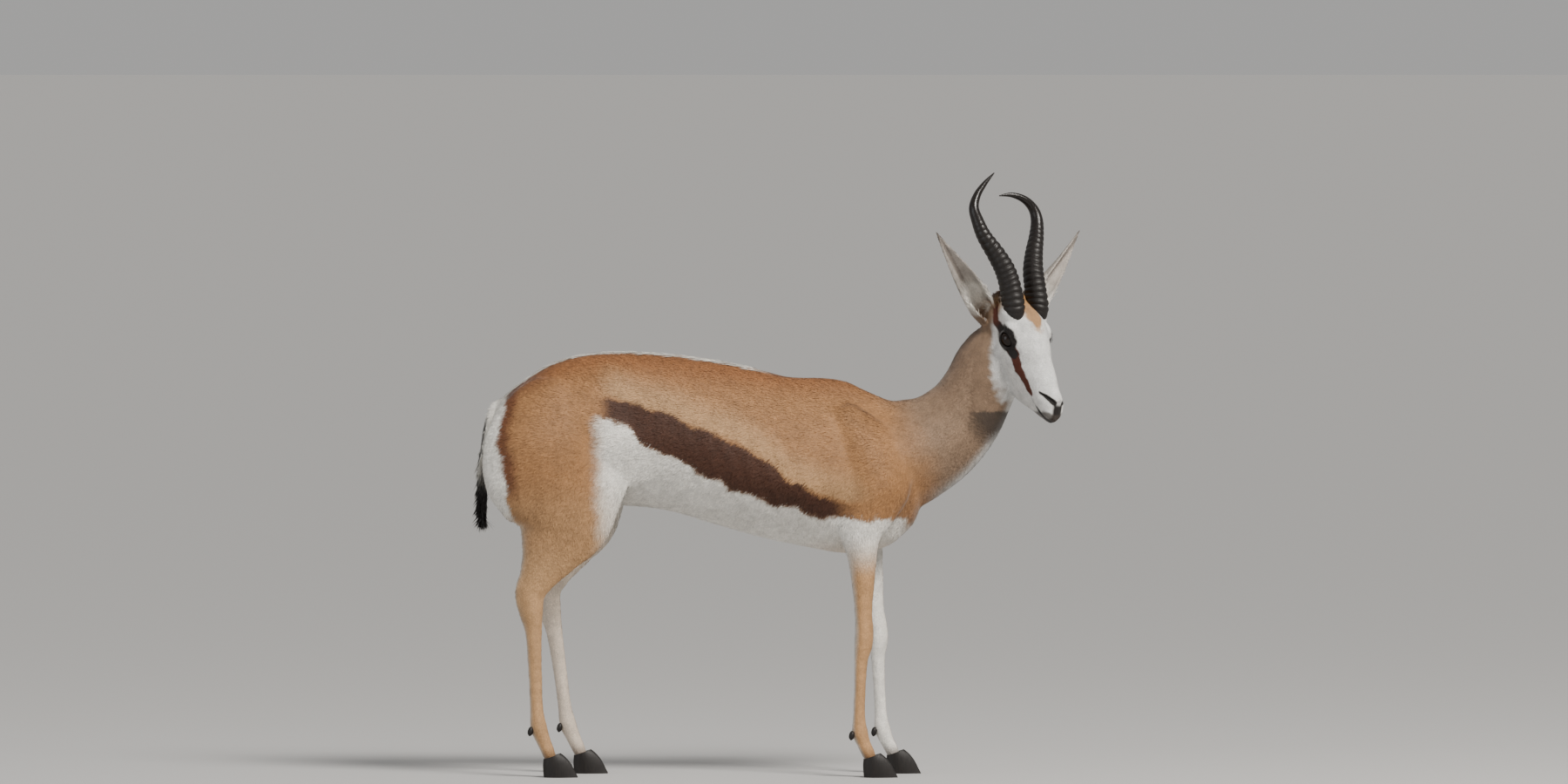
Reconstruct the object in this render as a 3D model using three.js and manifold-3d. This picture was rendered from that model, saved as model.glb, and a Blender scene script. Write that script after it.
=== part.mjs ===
// A life-size springbok ram that stands still with its head turned to its right.
// Millimetres, +X towards the chest, +Y to the animal's left, +Z up, feet on the plane z = 0.
import * as THREE from "three";
import { LoftGeometry } from "three/addons/geometries/LoftGeometry.js";
import { mergeVertices } from "three/addons/utils/BufferGeometryUtils.js";
import Module from "manifold-3d";

const wasm = await Module();
wasm.setup();

// Driving sizes
const GAP = 0.3; // between neighbouring pieces
const EYE = { at: [-4, 41, 3], radius: 17, looks: [0.3, 0.92, 0.24] }; // in the head's frame, left side
const LID = { thickness: 2.6, opening: [15.5, 10.5, 26], slant: [1, 0, -0.12] };
const HEAD = { at: [487, -80, 833], pitch: 54, yaw: 50 }; // midpoint between the eyes, degrees
const NECK_CUT = { at: [262, 0, 618], slope: 32 }; // where the neck is parted from the trunk
const HOOF = { width: 21, gap: 2.4 };
const STANCE = { // how far each foot stands ahead of its neutral place
  foreleg_right: -12,
  foreleg_left: 34,
  hindleg_right: -26,
  hindleg_left: 30,
};
const HOCK_CUT = 330;
const KNEE_CUT = 262;
const LEFT = 1;
const RIGHT = -1;

// Colours and roughness of the pieces
const FINISH = {
  coat: { color: 0xb98252, roughness: 0.9 },
  face: { color: 0xdedad2, roughness: 0.9 },
  neck: { color: 0xa98a6c, roughness: 0.9 },
  shank: { color: 0xc69a6b, roughness: 0.9 },
  ear: { color: 0xa8a29a, roughness: 0.9 },
  horn: { color: 0x24201e, roughness: 0.45 },
  eye: { color: 0x120c09, roughness: 0.08 },
  hoof: { color: 0x1d1a18, roughness: 0.5 },
};

// Closed geometry as a solid that can be joined and cut.
function solid(geometry) {
  const bare = new THREE.BufferGeometry();
  bare.setAttribute("position", geometry.getAttribute("position"));
  bare.setIndex(geometry.index);
  const merged = mergeVertices(bare, 1e-3);
  return new wasm.Manifold(
    new wasm.Mesh({
      numProp: 3,
      vertProperties: merged.attributes.position.array,
      triVerts: new Uint32Array(merged.index.array),
    }),
  );
}

// The largest closed surface of a solid, so that no loose scrap of a cut stays.
function largest(body) {
  return body.decompose().sort((a, b) => b.volume() - a.volume())[0];
}

const joined = (pieces) => pieces.reduce((sum, piece) => sum.add(piece));

function named(name, body, finish) {
  const made = largest(body).getMesh();
  const geometry = new THREE.BufferGeometry();
  const positions = new Float32Array(made.vertProperties);
  geometry.setAttribute("position", new THREE.BufferAttribute(positions, 3));
  geometry.setIndex(new THREE.BufferAttribute(made.triVerts, 1));
  geometry.computeVertexNormals();
  const mesh = new THREE.Mesh(geometry, new THREE.MeshStandardMaterial({ ...finish, metalness: 0 }));
  mesh.name = name;
  return mesh;
}

// Rows of numbers as one smooth function of the row's index.
function smoothRows(rows) {
  const places = rows.map((_, index) => index);
  const size = rows[0].length;
  const curve = new THREE.CubicInterpolant(places, rows.flat(), size, new Float64Array(size));
  return (index) => Array.from(curve.evaluate(index));
}

// Half width of a section at a level from -1 to 1, for half widths given at 0.7, 0 and -0.7.
const WIDE_LEVEL = 0.7;
const LEAST_REACH = 0.4;
function widthAt(level, [wideUp, wideMid, wideDown]) {
  const lean = (wideUp - wideDown) / (2 * WIDE_LEVEL);
  const bulge = ((wideUp + wideDown) / 2 - wideMid) / WIDE_LEVEL ** 2;
  return wideMid + lean * level + bulge * level ** 2;
}

// A body lofted through sections. Each row is x, y, z of the section's centre, how far it reaches
// along the guide and against it, and its half width on the guide side, in the middle and opposite.
function loft(rows, { guide, sides, steps, grow = 0, side = LEFT }) {
  const at = smoothRows(rows.map(([x, y, z, ...rest]) => [x, y * side, z, ...rest]));
  const last = rows.length - 1;
  const centre = (index) => new THREE.Vector3(...at(index).slice(0, 3));
  const sections = [];
  for (let step = 0; step <= steps; step++) {
    const index = (step / steps) * last;
    const along = centre(Math.min(index + 0.05, last)).sub(centre(Math.max(index - 0.05, 0))).normalize();
    const across = new THREE.Vector3().crossVectors(along, guide).normalize();
    const up = new THREE.Vector3().crossVectors(across, along);
    const [, , , plus, minus, ...wide] = at(index);
    const middle = centre(index);
    if (step === 0) middle.addScaledVector(along, -grow);
    if (step === steps) middle.addScaledVector(along, grow);
    sections.push(
      Array.from({ length: sides }, (_, j) => {
        const angle = (j / sides) * 2 * Math.PI;
        const level = Math.cos(angle);
        const reach = Math.max((level > 0 ? plus : minus) + grow, LEAST_REACH);
        const width = Math.max(widthAt(level, wide) + grow, LEAST_REACH);
        return middle
          .clone()
          .addScaledVector(up, level * reach)
          .addScaledVector(across, Math.sin(angle) * width);
      }),
    );
  }
  return solid(new LoftGeometry(sections, { capStart: true, capEnd: true }));
}

const UP = new THREE.Vector3(0, 0, 1);
const AHEAD = new THREE.Vector3(1, 0, 0);

// Trunk: chest, belly, loin and croup
const TRUNK_ROWS = [
  [-530, 0, 668, 14, 18, 9, 10, 9],
  [-522, 0, 668, 34, 50, 32, 36, 32],
  [-496, 0, 668, 72, 92, 56, 66, 60],
  [-452, 0, 666, 108, 124, 76, 92, 84],
  [-400, 0, 663, 137, 138, 87, 104, 94],
  [-330, 0, 658, 155, 142, 91, 108, 97],
  [-250, 0, 650, 163, 137, 88, 103, 93],
  [-165, 0, 636, 169, 134, 88, 106, 98],
  [-80, 0, 618, 172, 140, 90, 116, 109],
  [10, 0, 602, 166, 150, 87, 121, 116],
  [90, 0, 592, 173, 158, 76, 117, 111],
  [150, 0, 588, 168, 164, 64, 107, 100],
  [205, 0, 588, 145, 158, 56, 95, 88],
  [250, 0, 588, 124, 138, 53, 82, 74],
  [285, 0, 586, 92, 104, 46, 63, 56],
  [304, 0, 584, 40, 46, 24, 30, 26],
];
const trunkLoft = (grow = 0) => loft(TRUNK_ROWS, { guide: UP, sides: 20, steps: 22, grow });

// Neck, from inside the chest to inside the back of the skull
const NECK_ROWS = [
  [170, 0, 596, 104, 112, 66, 92, 84],
  [222, 0, 606, 108, 112, 64, 90, 80],
  [272, -2, 622, 104, 106, 60, 82, 70],
  [326, -7, 648, 92, 92, 54, 70, 60],
  [370, -15, 688, 84, 80, 50, 62, 54],
  [400, -25, 736, 78, 72, 48, 58, 50],
  [422, -34, 784, 76, 68, 46, 55, 48],
  [438, -40, 828, 60, 58, 40, 48, 42],
  [448, -44, 858, 36, 34, 26, 32, 28],
];
const neckLoft = (grow = 0) => loft(NECK_ROWS, { guide: UP, sides: 18, steps: 14, grow });

// Head, in its own frame: +X to the nose, +Z to the forehead, origin between the eyes
const HEAD_ROWS = [
  [-106, 0, -24, 10, 12, 9, 10, 9],
  [-100, 0, -22, 28, 32, 26, 30, 26],
  [-84, 0, -18, 45, 52, 40, 44, 36],
  [-62, 0, -16, 58, 64, 48, 50, 40],
  [-40, 0, -17, 67, 73, 51, 51, 41],
  [-14, 0, -18, 69, 80, 53, 49, 37],
  [12, 0, -20, 67, 83, 50, 45, 33],
  [38, 0, -21, 62, 80, 43, 40, 29],
  [66, 0, -21, 55, 67, 35, 34, 25],
  [94, 0, -20, 48, 53, 29, 29, 22],
  [120, 0, -18, 41, 40, 25, 25, 19],
  [142, 0, -16, 37, 31.5, 23, 24, 17],
  [156, 0, -15, 32, 24.5, 20, 21.5, 14],
  [165, 0, -12, 22, 17, 15, 16, 10],
  [170, 0, -9, 9, 9, 6, 7, 5],
];
const headLoft = (grow = 0) => loft(HEAD_ROWS, { guide: UP, sides: 22, steps: 22, grow });

// Half width of the head's side at a place along it and a height.
function headSide(x, z) {
  const at = smoothRows(HEAD_ROWS);
  let low = 0;
  let high = HEAD_ROWS.length - 1;
  for (let round = 0; round < 24; round++) {
    const half = (low + high) / 2;
    if (at(half)[0] < x) low = half;
    else high = half;
  }
  const [, , centre, plus, minus, ...wide] = at(low);
  const level = THREE.MathUtils.clamp((z - centre) / (z > centre ? plus : minus), -1, 1);
  return Math.sqrt(1 - level ** 2) * widthAt(level, wide);
}

const headMatrix = new THREE.Matrix4().compose(
  new THREE.Vector3(...HEAD.at),
  new THREE.Quaternion().setFromEuler(
    new THREE.Euler(0, THREE.MathUtils.degToRad(HEAD.pitch), THREE.MathUtils.degToRad(-HEAD.yaw), "ZYX"),
  ),
  new THREE.Vector3(1, 1, 1),
);
const inWorld = (body) => body.transform(headMatrix.elements);

const ball = (radius, rings = 9) => new THREE.SphereGeometry(radius, 2 * rings, rings);
const onSide = ([x, y, z], side) => new THREE.Vector3(x, side * y, z);

// A sphere stretched to three half axes and set in the head's frame.
function oval(place, [deep, wide, tall], side, rings = 5) {
  const geometry = ball(1, rings);
  geometry.scale(deep, wide, tall);
  geometry.translate(...onSide(place, side));
  return solid(geometry);
}

const eyeball = (side, radius) => oval(EYE.at, [radius, radius, radius], side, 8);

// The gap between the lids: an oval hole that looks out along the eye's axis.
function lidOpening(side) {
  const out = onSide(EYE.looks, side).normalize();
  const along = onSide(LID.slant, side);
  along.addScaledVector(out, -along.dot(out)).normalize();
  const across = new THREE.Vector3().crossVectors(out, along);
  const geometry = ball(1, 6);
  geometry.scale(...LID.opening);
  const turn = new THREE.Matrix4().makeBasis(along, across, out);
  turn.setPosition(onSide(EYE.at, side).addScaledVector(out, EYE.radius - 3));
  geometry.applyMatrix4(turn);
  return solid(geometry);
}

// Bony rims over the eyes and the bosses that carry the horns
const BROW = { at: [-12, 38, 19], half: [24, 15, 13] };
const BOSS = { at: [-46, 29, 24], half: [32, 23, 22] };

// Mouth: a groove between two lips, from its corners round the front
const MOUTH = { corner: 112, front: 160, height: -26, width: 1.6, depth: 4 };
const LIPS = [ // height, radius
  [-21.5, 3.4],
  [-31, 3.4],
];
function lip([height, radius]) {
  const count = 6;
  const rightSide = Array.from({ length: count }, (_, index) => {
    const x = THREE.MathUtils.lerp(MOUTH.corner, MOUTH.front, index / (count - 1));
    const y = Math.max(headSide(x, height) - radius / 2, 6);
    return [x, -y, height, radius, radius, radius, radius, radius];
  });
  const leftSide = rightSide.map(([x, y, ...rest]) => [x, -y, ...rest]).reverse();
  const front = [MOUTH.front + 2, 0, height, radius, radius, radius, radius, radius];
  return loft([...rightSide, front, ...leftSide], { guide: UP, sides: 6, steps: 16 });
}

function mouthGroove() {
  const shape = new THREE.Shape();
  const beyond = MOUTH.front + 30;
  shape.moveTo(MOUTH.corner, MOUTH.height);
  shape.lineTo(MOUTH.corner + 26, MOUTH.height - MOUTH.width);
  shape.lineTo(beyond, MOUTH.height - MOUTH.width / 2);
  shape.lineTo(beyond, MOUTH.height + MOUTH.width / 2);
  shape.lineTo(MOUTH.corner + 26, MOUTH.height);
  shape.closePath();
  const wide = 80;
  const plate = new THREE.ExtrudeGeometry(shape, { depth: wide, bevelEnabled: false });
  plate.rotateX(Math.PI / 2);
  plate.translate(0, wide / 2, 0);
  const coreRows = HEAD_ROWS.slice(2, -1);
  const core = loft(coreRows, { guide: UP, sides: 16, steps: 12, grow: -MOUTH.depth });
  return solid(plate).subtract(core);
}

// Nostril: a comma that widens to the front. Rows: ahead, outwards, height, radius
const NOSTRIL_ROWS = [
  [118, 23, -1, 0.8],
  [128, 20, 4, 2],
  [138, 17, 8, 2.8],
  [148, 13.5, 11, 3.4],
  [157, 9, 12, 3],
];
function nostril(side) {
  const rows = NOSTRIL_ROWS.map(([x, y, z, r]) => [x, y, z, r, r, r, r, r]);
  return loft(rows, { guide: UP, sides: 6, steps: 5, side });
}

// Horns: ringed for the lower part, smooth above, hooked in at the tips.
// Rows in the head's frame: x, y outwards, z, half thickness fore and aft, half thickness across.
const HORN_ROOT = [
  [-20, 28, -4, 12, 11],
  [-34, 29, 17, 20, 17.5],
  [-50, 30, 37, 24, 20],
  [-83, 31, 53, 23, 19],
  [-118, 35, 65, 21.5, 18],
  [-152, 48, 74, 19, 16],
  [-187, 66, 83, 15.5, 13.5],
  [-216, 75, 93, 13, 11.5],
];
const HORN_TIP = {
  [RIGHT]: [
    [-240, 79, 103, 10.5, 9.5],
    [-262, 67, 114, 8, 7.5],
    [-281, 46, 126, 5.2, 5],
    [-296, 24, 138, 1.4, 1.4],
  ],
  [LEFT]: [
    [-238, 71, 101, 10.5, 9.5],
    [-256, 54, 106, 8, 7.5],
    [-268, 30, 104, 5.2, 5],
    [-272, 6, 96, 1.4, 1.4],
  ],
};
const RINGS = { count: 17, first: 0.17, last: 0.63, height: 2.1 };
const HORN_SIDES = 9;

function horn(side) {
  const rows = [...HORN_ROOT, ...HORN_TIP[side]];
  const at = smoothRows(rows);
  const last = rows.length - 1;
  const spots = [0, RINGS.first / 2];
  const pitch = (RINGS.last - RINGS.first) / RINGS.count;
  for (let ring = 0; ring < RINGS.count; ring++) {
    spots.push(RINGS.first + (ring + 0.1) * pitch, RINGS.first + (ring + 0.6) * pitch);
  }
  for (let spot = RINGS.last; spot < 1.001; spot += 0.037) spots.push(Math.min(spot, 1));
  const isRidge = (index) => index > 1 && index < 2 + 2 * RINGS.count && index % 2 === 1;
  const point = (spot) => {
    const [x, y, z] = at(spot * last);
    return new THREE.Vector3(x, y * side, z);
  };
  const sections = spots.map((spot, index) => {
    const along = point(Math.min(spot + 0.01, 1)).sub(point(Math.max(spot - 0.01, 0))).normalize();
    const across = new THREE.Vector3(0, side, 0).addScaledVector(along, -along.y * side).normalize();
    const fore = new THREE.Vector3().crossVectors(across, along).multiplyScalar(side);
    const [, , , deep, wide] = at(spot * last);
    const fade = 1 - 0.6 * Math.max(0, (spot - RINGS.first) / (RINGS.last - RINGS.first));
    const ridge = isRidge(index) ? RINGS.height * fade : 0;
    return Array.from({ length: HORN_SIDES }, (_, j) => {
      const angle = (side * j * 2 * Math.PI) / HORN_SIDES;
      return point(spot)
        .addScaledVector(fore, Math.cos(angle) * (deep + ridge))
        .addScaledVector(across, Math.sin(angle) * (wide + ridge));
    });
  });
  return solid(new LoftGeometry(sections, { capStart: true, capEnd: true }));
}

// Ears: a leaf rolled into a cup that is open to the front, in the head's frame.
const EAR_WALL = 3.2;
// Rows: share of the length, radius of the roll, half angle of the wall, in degrees
const EAR_ROWS = [
  [0, 17, 150],
  [0.12, 23, 142],
  [0.26, 25, 118],
  [0.4, 23.5, 102],
  [0.56, 19.5, 92],
  [0.72, 13.5, 82],
  [0.86, 7.5, 74],
  [0.96, 3.2, 68],
  [1, 1.4, 64],
];
const EAR_ROOT = [-70, 30, -32];
const EAR_TIP = [-197, 181, 83];
const EAR_OPENS = [0.62, 0.3, 0.72]; // towards the front, in the head's frame
const EAR_BOW = [13, 5, 8]; // how far the middle of the leaf bows out of the line from root to tip

function ear(side) {
  const at = smoothRows(EAR_ROWS);
  const root = onSide(EAR_ROOT, side);
  const tip = onSide(EAR_TIP, side);
  const along = tip.clone().sub(root).normalize();
  const bow = onSide(EAR_BOW, side);
  const open = onSide(EAR_OPENS, side);
  open.addScaledVector(along, -along.dot(open)).normalize();
  const across = new THREE.Vector3().crossVectors(along, open);
  const last = EAR_ROWS.length - 1;
  const steps = 13;
  const half = 7;
  const sections = [];
  for (let step = 0; step <= steps; step++) {
    const [share, radius, degrees] = at((step / steps) * last);
    const centre = root.clone().lerp(tip, share).addScaledVector(bow, Math.sin(share * Math.PI));
    const wall = Math.min(EAR_WALL, 0.8 * radius) * (1 - 0.45 * share);
    const points = [];
    const arc = (from, to, reach) => {
      for (let j = 0; j < half; j++) {
        const angle = THREE.MathUtils.degToRad(from + ((to - from) * j) / (half - 1));
        points.push(
          centre
            .clone()
            .addScaledVector(open, -Math.cos(angle) * reach)
            .addScaledVector(across, -Math.sin(angle) * reach),
        );
      }
    };
    arc(-degrees, degrees, radius);
    arc(degrees - 4, 4 - degrees, radius - wall);
    sections.push(points);
  }
  return solid(new LoftGeometry(sections, { capStart: true, capEnd: true }));
}

// Legs, for the left side; the guide points ahead, so reach is fore and aft.
const FORELEG_ROWS = [
  [140, 48, 705, 24, 26, 12, 16, 12],
  [158, 60, 668, 50, 50, 20, 27, 21],
  [190, 72, 612, 70, 72, 27, 36, 29],
  [203, 76, 556, 70, 76, 28, 39, 31],
  [194, 77, 506, 52, 66, 26, 36, 29],
  [182, 76, 462, 36, 50, 22, 30, 25],
  [181, 74, 418, 29, 31, 18, 24, 19],
  [183, 72, 366, 23.5, 23, 15.5, 19, 15.5],
  [185, 71, 316, 19, 18.5, 13.5, 16, 13.5],
  [187, 70, 282, 20.5, 19, 15.5, 18.5, 15],
  [187, 70, 252, 19.5, 19.5, 14.5, 18, 15],
  [184, 70, 222, 14.5, 16, 11, 13.5, 11],
  [183, 70, 165, 12.5, 14, 9.8, 11.5, 10],
  [183, 70, 114, 13, 15, 10.3, 12, 10.5],
  [185, 70, 88, 16, 18.5, 13, 16, 14],
  [192, 70, 66, 14, 16.5, 12.5, 15, 13.5],
  [200, 70, 48, 14, 15, 13, 15.5, 14],
  [206, 70, 32, 13, 13, 12, 14, 12],
];
const HINDLEG_ROWS = [
  [-392, 38, 752, 62, 56, 22, 30, 22],
  [-404, 49, 704, 100, 100, 36, 48, 38],
  [-414, 66, 640, 124, 130, 42, 56, 47],
  [-412, 71, 580, 138, 134, 38, 55, 47],
  [-402, 72, 528, 138, 114, 33, 48, 42],
  [-396, 70, 478, 102, 88, 29, 40, 34],
  [-410, 69, 428, 62, 62, 23, 30, 26],
  [-427, 69, 384, 37, 42, 18, 23, 18],
  [-438, 69, 350, 25, 38, 16, 20.5, 14.5],
  [-437, 70, 316, 21.5, 30, 14.5, 19, 13.5],
  [-432, 70, 276, 16.5, 20, 12, 14.5, 11],
  [-426, 70, 205, 14, 16.5, 10.8, 12.5, 10.2],
  [-420, 70, 132, 13.5, 16, 10.8, 12.8, 11],
  [-415, 70, 96, 17, 19, 13.5, 16.5, 14.5],
  [-406, 70, 72, 14.5, 17, 13, 15.5, 14],
  [-397, 70, 50, 14, 15, 13, 15.5, 14],
  [-391, 70, 32, 13, 13, 12, 14, 12],
];
const FORELEG_HIP = 640; // above these heights a step moves nothing
const HINDLEG_HIP = 690;

// A leg's rows with the foot moved ahead by its stance, fading out towards the hip.
function stepped(rows, name) {
  const hip = name.startsWith("fore") ? FORELEG_HIP : HINDLEG_HIP;
  return rows.map(([x, y, z, ...rest]) => {
    const share = THREE.MathUtils.smoothstep(hip - z, 0, hip);
    return [x + STANCE[name] * share, y, z, ...rest];
  });
}

const SIDES = { right: RIGHT, left: LEFT };
const LEGS = ["foreleg_right", "foreleg_left", "hindleg_right", "hindleg_left"];
const sideOf = (name) => SIDES[name.split("_")[1]];
const rowsOf = (name) => stepped(name.startsWith("fore") ? FORELEG_ROWS : HINDLEG_ROWS, name);
function legLoft(name, grow = 0) {
  return loft(rowsOf(name), { guide: AHEAD, sides: 11, steps: 22, grow, side: sideOf(name) });
}

// The part of the flank and shoulder that belongs to a leg: the leg's rows drawn outwards, so that
// the parting line crosses the trunk's surface steeply.
const REGION = { rows: 7, reach: 0.9 };
function legRegion(name, grow = 0) {
  const rows = rowsOf(name)
    .slice(0, REGION.rows)
    .map(([x, y, z, plus, minus, wideUp, wideMid, wideDown], index) => {
      const out = REGION.reach * wideMid * (1 - index / REGION.rows);
      return [x, y + out, z, plus, minus, wideUp + out, wideMid + out, wideDown + out];
    });
  return loft(rows, { guide: AHEAD, sides: 10, steps: 6, grow, side: sideOf(name) });
}

// A claw of the cloven hoof: a flat sole, a sloping front wall and a low heel.
const CLAW_ROWS = [ // height, ahead of the foot's middle, reach to the toe, to the heel, half widths
  [-14, 11, 40, 27, 7, 10.6, 9.2],
  [0, 8, 36, 26, 7.2, 10.6, 9.4],
  [14, 5, 32, 25, 7.4, 10.6, 9.6],
  [28, 1, 26, 22, 7.6, 10.2, 9.4],
  [40, -3, 18, 17, 7.2, 9.2, 8.4],
];
function claw(foot, side, inner, grow = 0) {
  const shift = (HOOF.width + HOOF.gap) / 2;
  const rows = CLAW_ROWS.map(([z, x, toe, heel, ...wide]) => [
    foot.x + x, foot.y + (inner ? -shift : shift), z, toe, heel, ...wide,
  ]);
  return loft(rows, { guide: AHEAD, sides: 10, steps: 4, grow, side }).trimByPlane([0, 0, 1], 0);
}

function footOf(name) {
  const [x, y] = rowsOf(name).at(-1);
  return { x: x + 4, y };
}

// Dew claw: a small horny cone behind the fetlock.
function dewclaw(name, inner) {
  const [x, y, z] = rowsOf(name).at(-4);
  const geometry = new THREE.SphereGeometry(1, 7, 5);
  geometry.scale(7, 5.2, 9);
  geometry.translate(x - 17, sideOf(name) * (y + (inner ? -8.5 : 8.5)), z - 8);
  return solid(geometry);
}

// Tail: a slim core that hangs behind the rump, with a tuft at its end.
const TAIL_ROWS = [
  [-490, 0, 724, 10, 10, 10, 11, 10],
  [-512, 0, 716, 9, 9, 9, 10, 9],
  [-530, 0, 695, 8, 8, 9, 10, 9],
  [-541, 0, 660, 7, 7, 9, 10, 9],
  [-547, 0, 618, 6, 6, 8, 9, 8],
  [-549, 0, 575, 5, 5, 7, 8, 7],
  [-550, 0, 530, 5, 5, 6, 7, 6],
  [-549, 0, 495, 2, 2, 2, 3, 2],
];
const tailCore = () => loft(TAIL_ROWS, { guide: AHEAD, sides: 10, steps: 14 });

// The tail's tuft: flat, tapered locks set round the core in a spiral, from its middle to its end.
const TUFT = { count: 15, x: -549, top: 604, bottom: 508, turn: 2.4 }; // turn in radians from lock to lock
const LOCK = { length: 54, spread: 7, arch: 2.4, bend: 5, edge: 0.8, root: 1 };
const UNEVEN = { length: 0.14, lengthRate: 1.9, bendRate: 2.7 }; // how the locks differ from each other
const LOCK_WIDTHS = [3.6, 5, 4.4, 2.8, 0.8]; // half the lock's width, from the root to the tip
const LOCK_DEPTHS = [1.7, 1.7, 1.5, 1.2, 0.6];
function tailLock(index) {
  const height = THREE.MathUtils.lerp(TUFT.top, TUFT.bottom, index / (TUFT.count - 1));
  const angle = index * TUFT.turn;
  const out = new THREE.Vector3(Math.cos(angle), Math.sin(angle), 0);
  const aside = new THREE.Vector3(-Math.sin(angle), Math.cos(angle), 0);
  const length = LOCK.length * (1 + UNEVEN.length * Math.sin(index * UNEVEN.lengthRate));
  const lean = LOCK.bend * Math.sin(index * UNEVEN.bendRate);
  const rows = LOCK_WIDTHS.map((wide, row) => {
    const share = row / (LOCK_WIDTHS.length - 1);
    const reach = LOCK.root + LOCK.spread * Math.sin(share * LOCK.arch);
    const x = TUFT.x + out.x * reach + aside.x * lean * share ** 2;
    const y = out.y * reach + aside.y * lean * share ** 2;
    const depth = LOCK_DEPTHS[row];
    const edge = wide * LOCK.edge;
    return [x, y, height - length * share, depth, depth, edge, wide, edge];
  });
  return loft(rows, { guide: out, sides: 5, steps: 3 });
}
const tailLocks = () => Array.from({ length: TUFT.count }, (_, index) => tailLock(index));

// Assembly
const trunk = trunkLoft().add(neckLoft());
const cutNormal = new THREE.Vector3(1, 0, 0).applyAxisAngle(
  new THREE.Vector3(0, 1, 0),
  THREE.MathUtils.degToRad(-NECK_CUT.slope),
);
const cutOffset = new THREE.Vector3(...NECK_CUT.at).dot(cutNormal);
const behindCut = cutNormal.clone().negate().toArray();
const headGrown = headLoft(GAP);
const legRoom = joined(LEGS.flatMap((name) => [legLoft(name, GAP), legRegion(name, GAP)]));
const legless = trunk.subtract(legRoom);
const neckBody = legless
  .trimByPlane(cutNormal.toArray(), cutOffset + GAP / 2)
  .subtract(inWorld(headGrown));
const torsoBody = legless.trimByPlane(behindCut, GAP / 2 - cutOffset);

const headParts = [headLoft(), ...LIPS.map(lip)];
const headCuts = [mouthGroove()];
for (const side of [RIGHT, LEFT]) {
  headParts.push(oval(BROW.at, BROW.half, side), oval(BOSS.at, BOSS.half, side));
  headParts.push(eyeball(side, EYE.radius + GAP + LID.thickness));
  headCuts.push(eyeball(side, EYE.radius + GAP), lidOpening(side), nostril(side));
}
const headBody = joined(headParts).subtract(joined(headCuts));
const bossGrown = (side) => oval(BOSS.at, BOSS.half.map((size) => size + GAP), side);

const animal = new THREE.Group();
const headGroup = new THREE.Group();
headGroup.applyMatrix4(headMatrix);
animal.add(headGroup);

animal.add(named("torso", torsoBody, FINISH.coat));
animal.add(named("neck", neckBody, FINISH.neck));
const tailBody = joined([tailCore(), ...tailLocks()]).subtract(trunkLoft(GAP));
animal.add(named("tail", tailBody, FINISH.face));
headGroup.add(named("head", headBody, FINISH.face));
for (const [word, side] of Object.entries(SIDES)) {
  const hornRoom = headGrown.add(bossGrown(side));
  headGroup.add(named(`eye_${word}`, eyeball(side, EYE.radius), FINISH.eye));
  headGroup.add(named(`horn_${word}`, horn(side).subtract(hornRoom), FINISH.horn));
  headGroup.add(named(`ear_${word}`, ear(side).subtract(headGrown), FINISH.ear));
}

for (const name of LEGS) {
  const cut = name.startsWith("fore") ? KNEE_CUT : HOCK_CUT;
  const foot = footOf(name);
  const side = sideOf(name);
  const claws = [false, true].map((inner) => claw(foot, side, inner, GAP));
  const dewclaws = [false, true].map((inner) => dewclaw(name, inner));
  const root = trunk.intersect(legRegion(name)).trimByPlane(behindCut, GAP / 2 - cutOffset);
  const leg = joined([legLoft(name), root]).subtract(joined(claws));
  const upper = leg.trimByPlane([0, 0, 1], cut + GAP / 2);
  const lower = leg.trimByPlane([0, 0, -1], GAP / 2 - cut);
  animal.add(named(`${name}_upper`, upper, FINISH.coat));
  animal.add(named(`${name}_lower`, joined([lower, ...dewclaws]), FINISH.shank));
  for (const [word, inner] of [["outer", false], ["inner", true]]) {
    animal.add(named(`${name}_hoof_${word}`, claw(foot, side, inner), FINISH.hoof));
  }
}

// The origin is under the middle of the whole animal, on the floor.
const box = new THREE.Box3().setFromObject(animal, true);
const middle = box.getCenter(new THREE.Vector3());
animal.position.set(-middle.x, -middle.y, -box.min.z);

export default animal;
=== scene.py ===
import bmesh
import bpy
import math
import numpy as np
from mathutils import Matrix, Vector


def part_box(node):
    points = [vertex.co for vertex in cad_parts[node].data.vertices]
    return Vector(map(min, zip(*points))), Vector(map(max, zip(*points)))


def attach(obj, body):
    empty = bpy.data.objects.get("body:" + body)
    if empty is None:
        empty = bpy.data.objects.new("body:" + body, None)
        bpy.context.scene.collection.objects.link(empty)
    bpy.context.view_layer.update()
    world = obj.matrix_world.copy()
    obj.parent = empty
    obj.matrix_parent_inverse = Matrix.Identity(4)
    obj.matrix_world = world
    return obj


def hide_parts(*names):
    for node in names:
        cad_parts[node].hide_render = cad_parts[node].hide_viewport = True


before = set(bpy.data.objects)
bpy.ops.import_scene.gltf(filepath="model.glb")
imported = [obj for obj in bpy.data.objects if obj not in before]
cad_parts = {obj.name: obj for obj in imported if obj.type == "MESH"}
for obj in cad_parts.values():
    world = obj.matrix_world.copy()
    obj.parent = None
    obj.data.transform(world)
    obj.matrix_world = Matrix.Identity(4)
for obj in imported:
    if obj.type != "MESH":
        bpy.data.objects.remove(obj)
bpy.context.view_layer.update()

# Where the animal stands
# The whole animal stands on the floor with its chest towards +X. Its head is carried high and turned
# to its right, so the head has a frame of its own: nose, left side and crown.
MILLIMETRE = 0.001
HEAD_PLACE = np.array([487.0, -80.0, 833.0])
HEAD_YAW = math.radians(50)
HEAD_PITCH = math.radians(54)
NOSE_WAY = np.array([math.cos(HEAD_PITCH) * math.cos(HEAD_YAW), -math.cos(HEAD_PITCH) * math.sin(HEAD_YAW),
                     -math.sin(HEAD_PITCH)])
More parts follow.
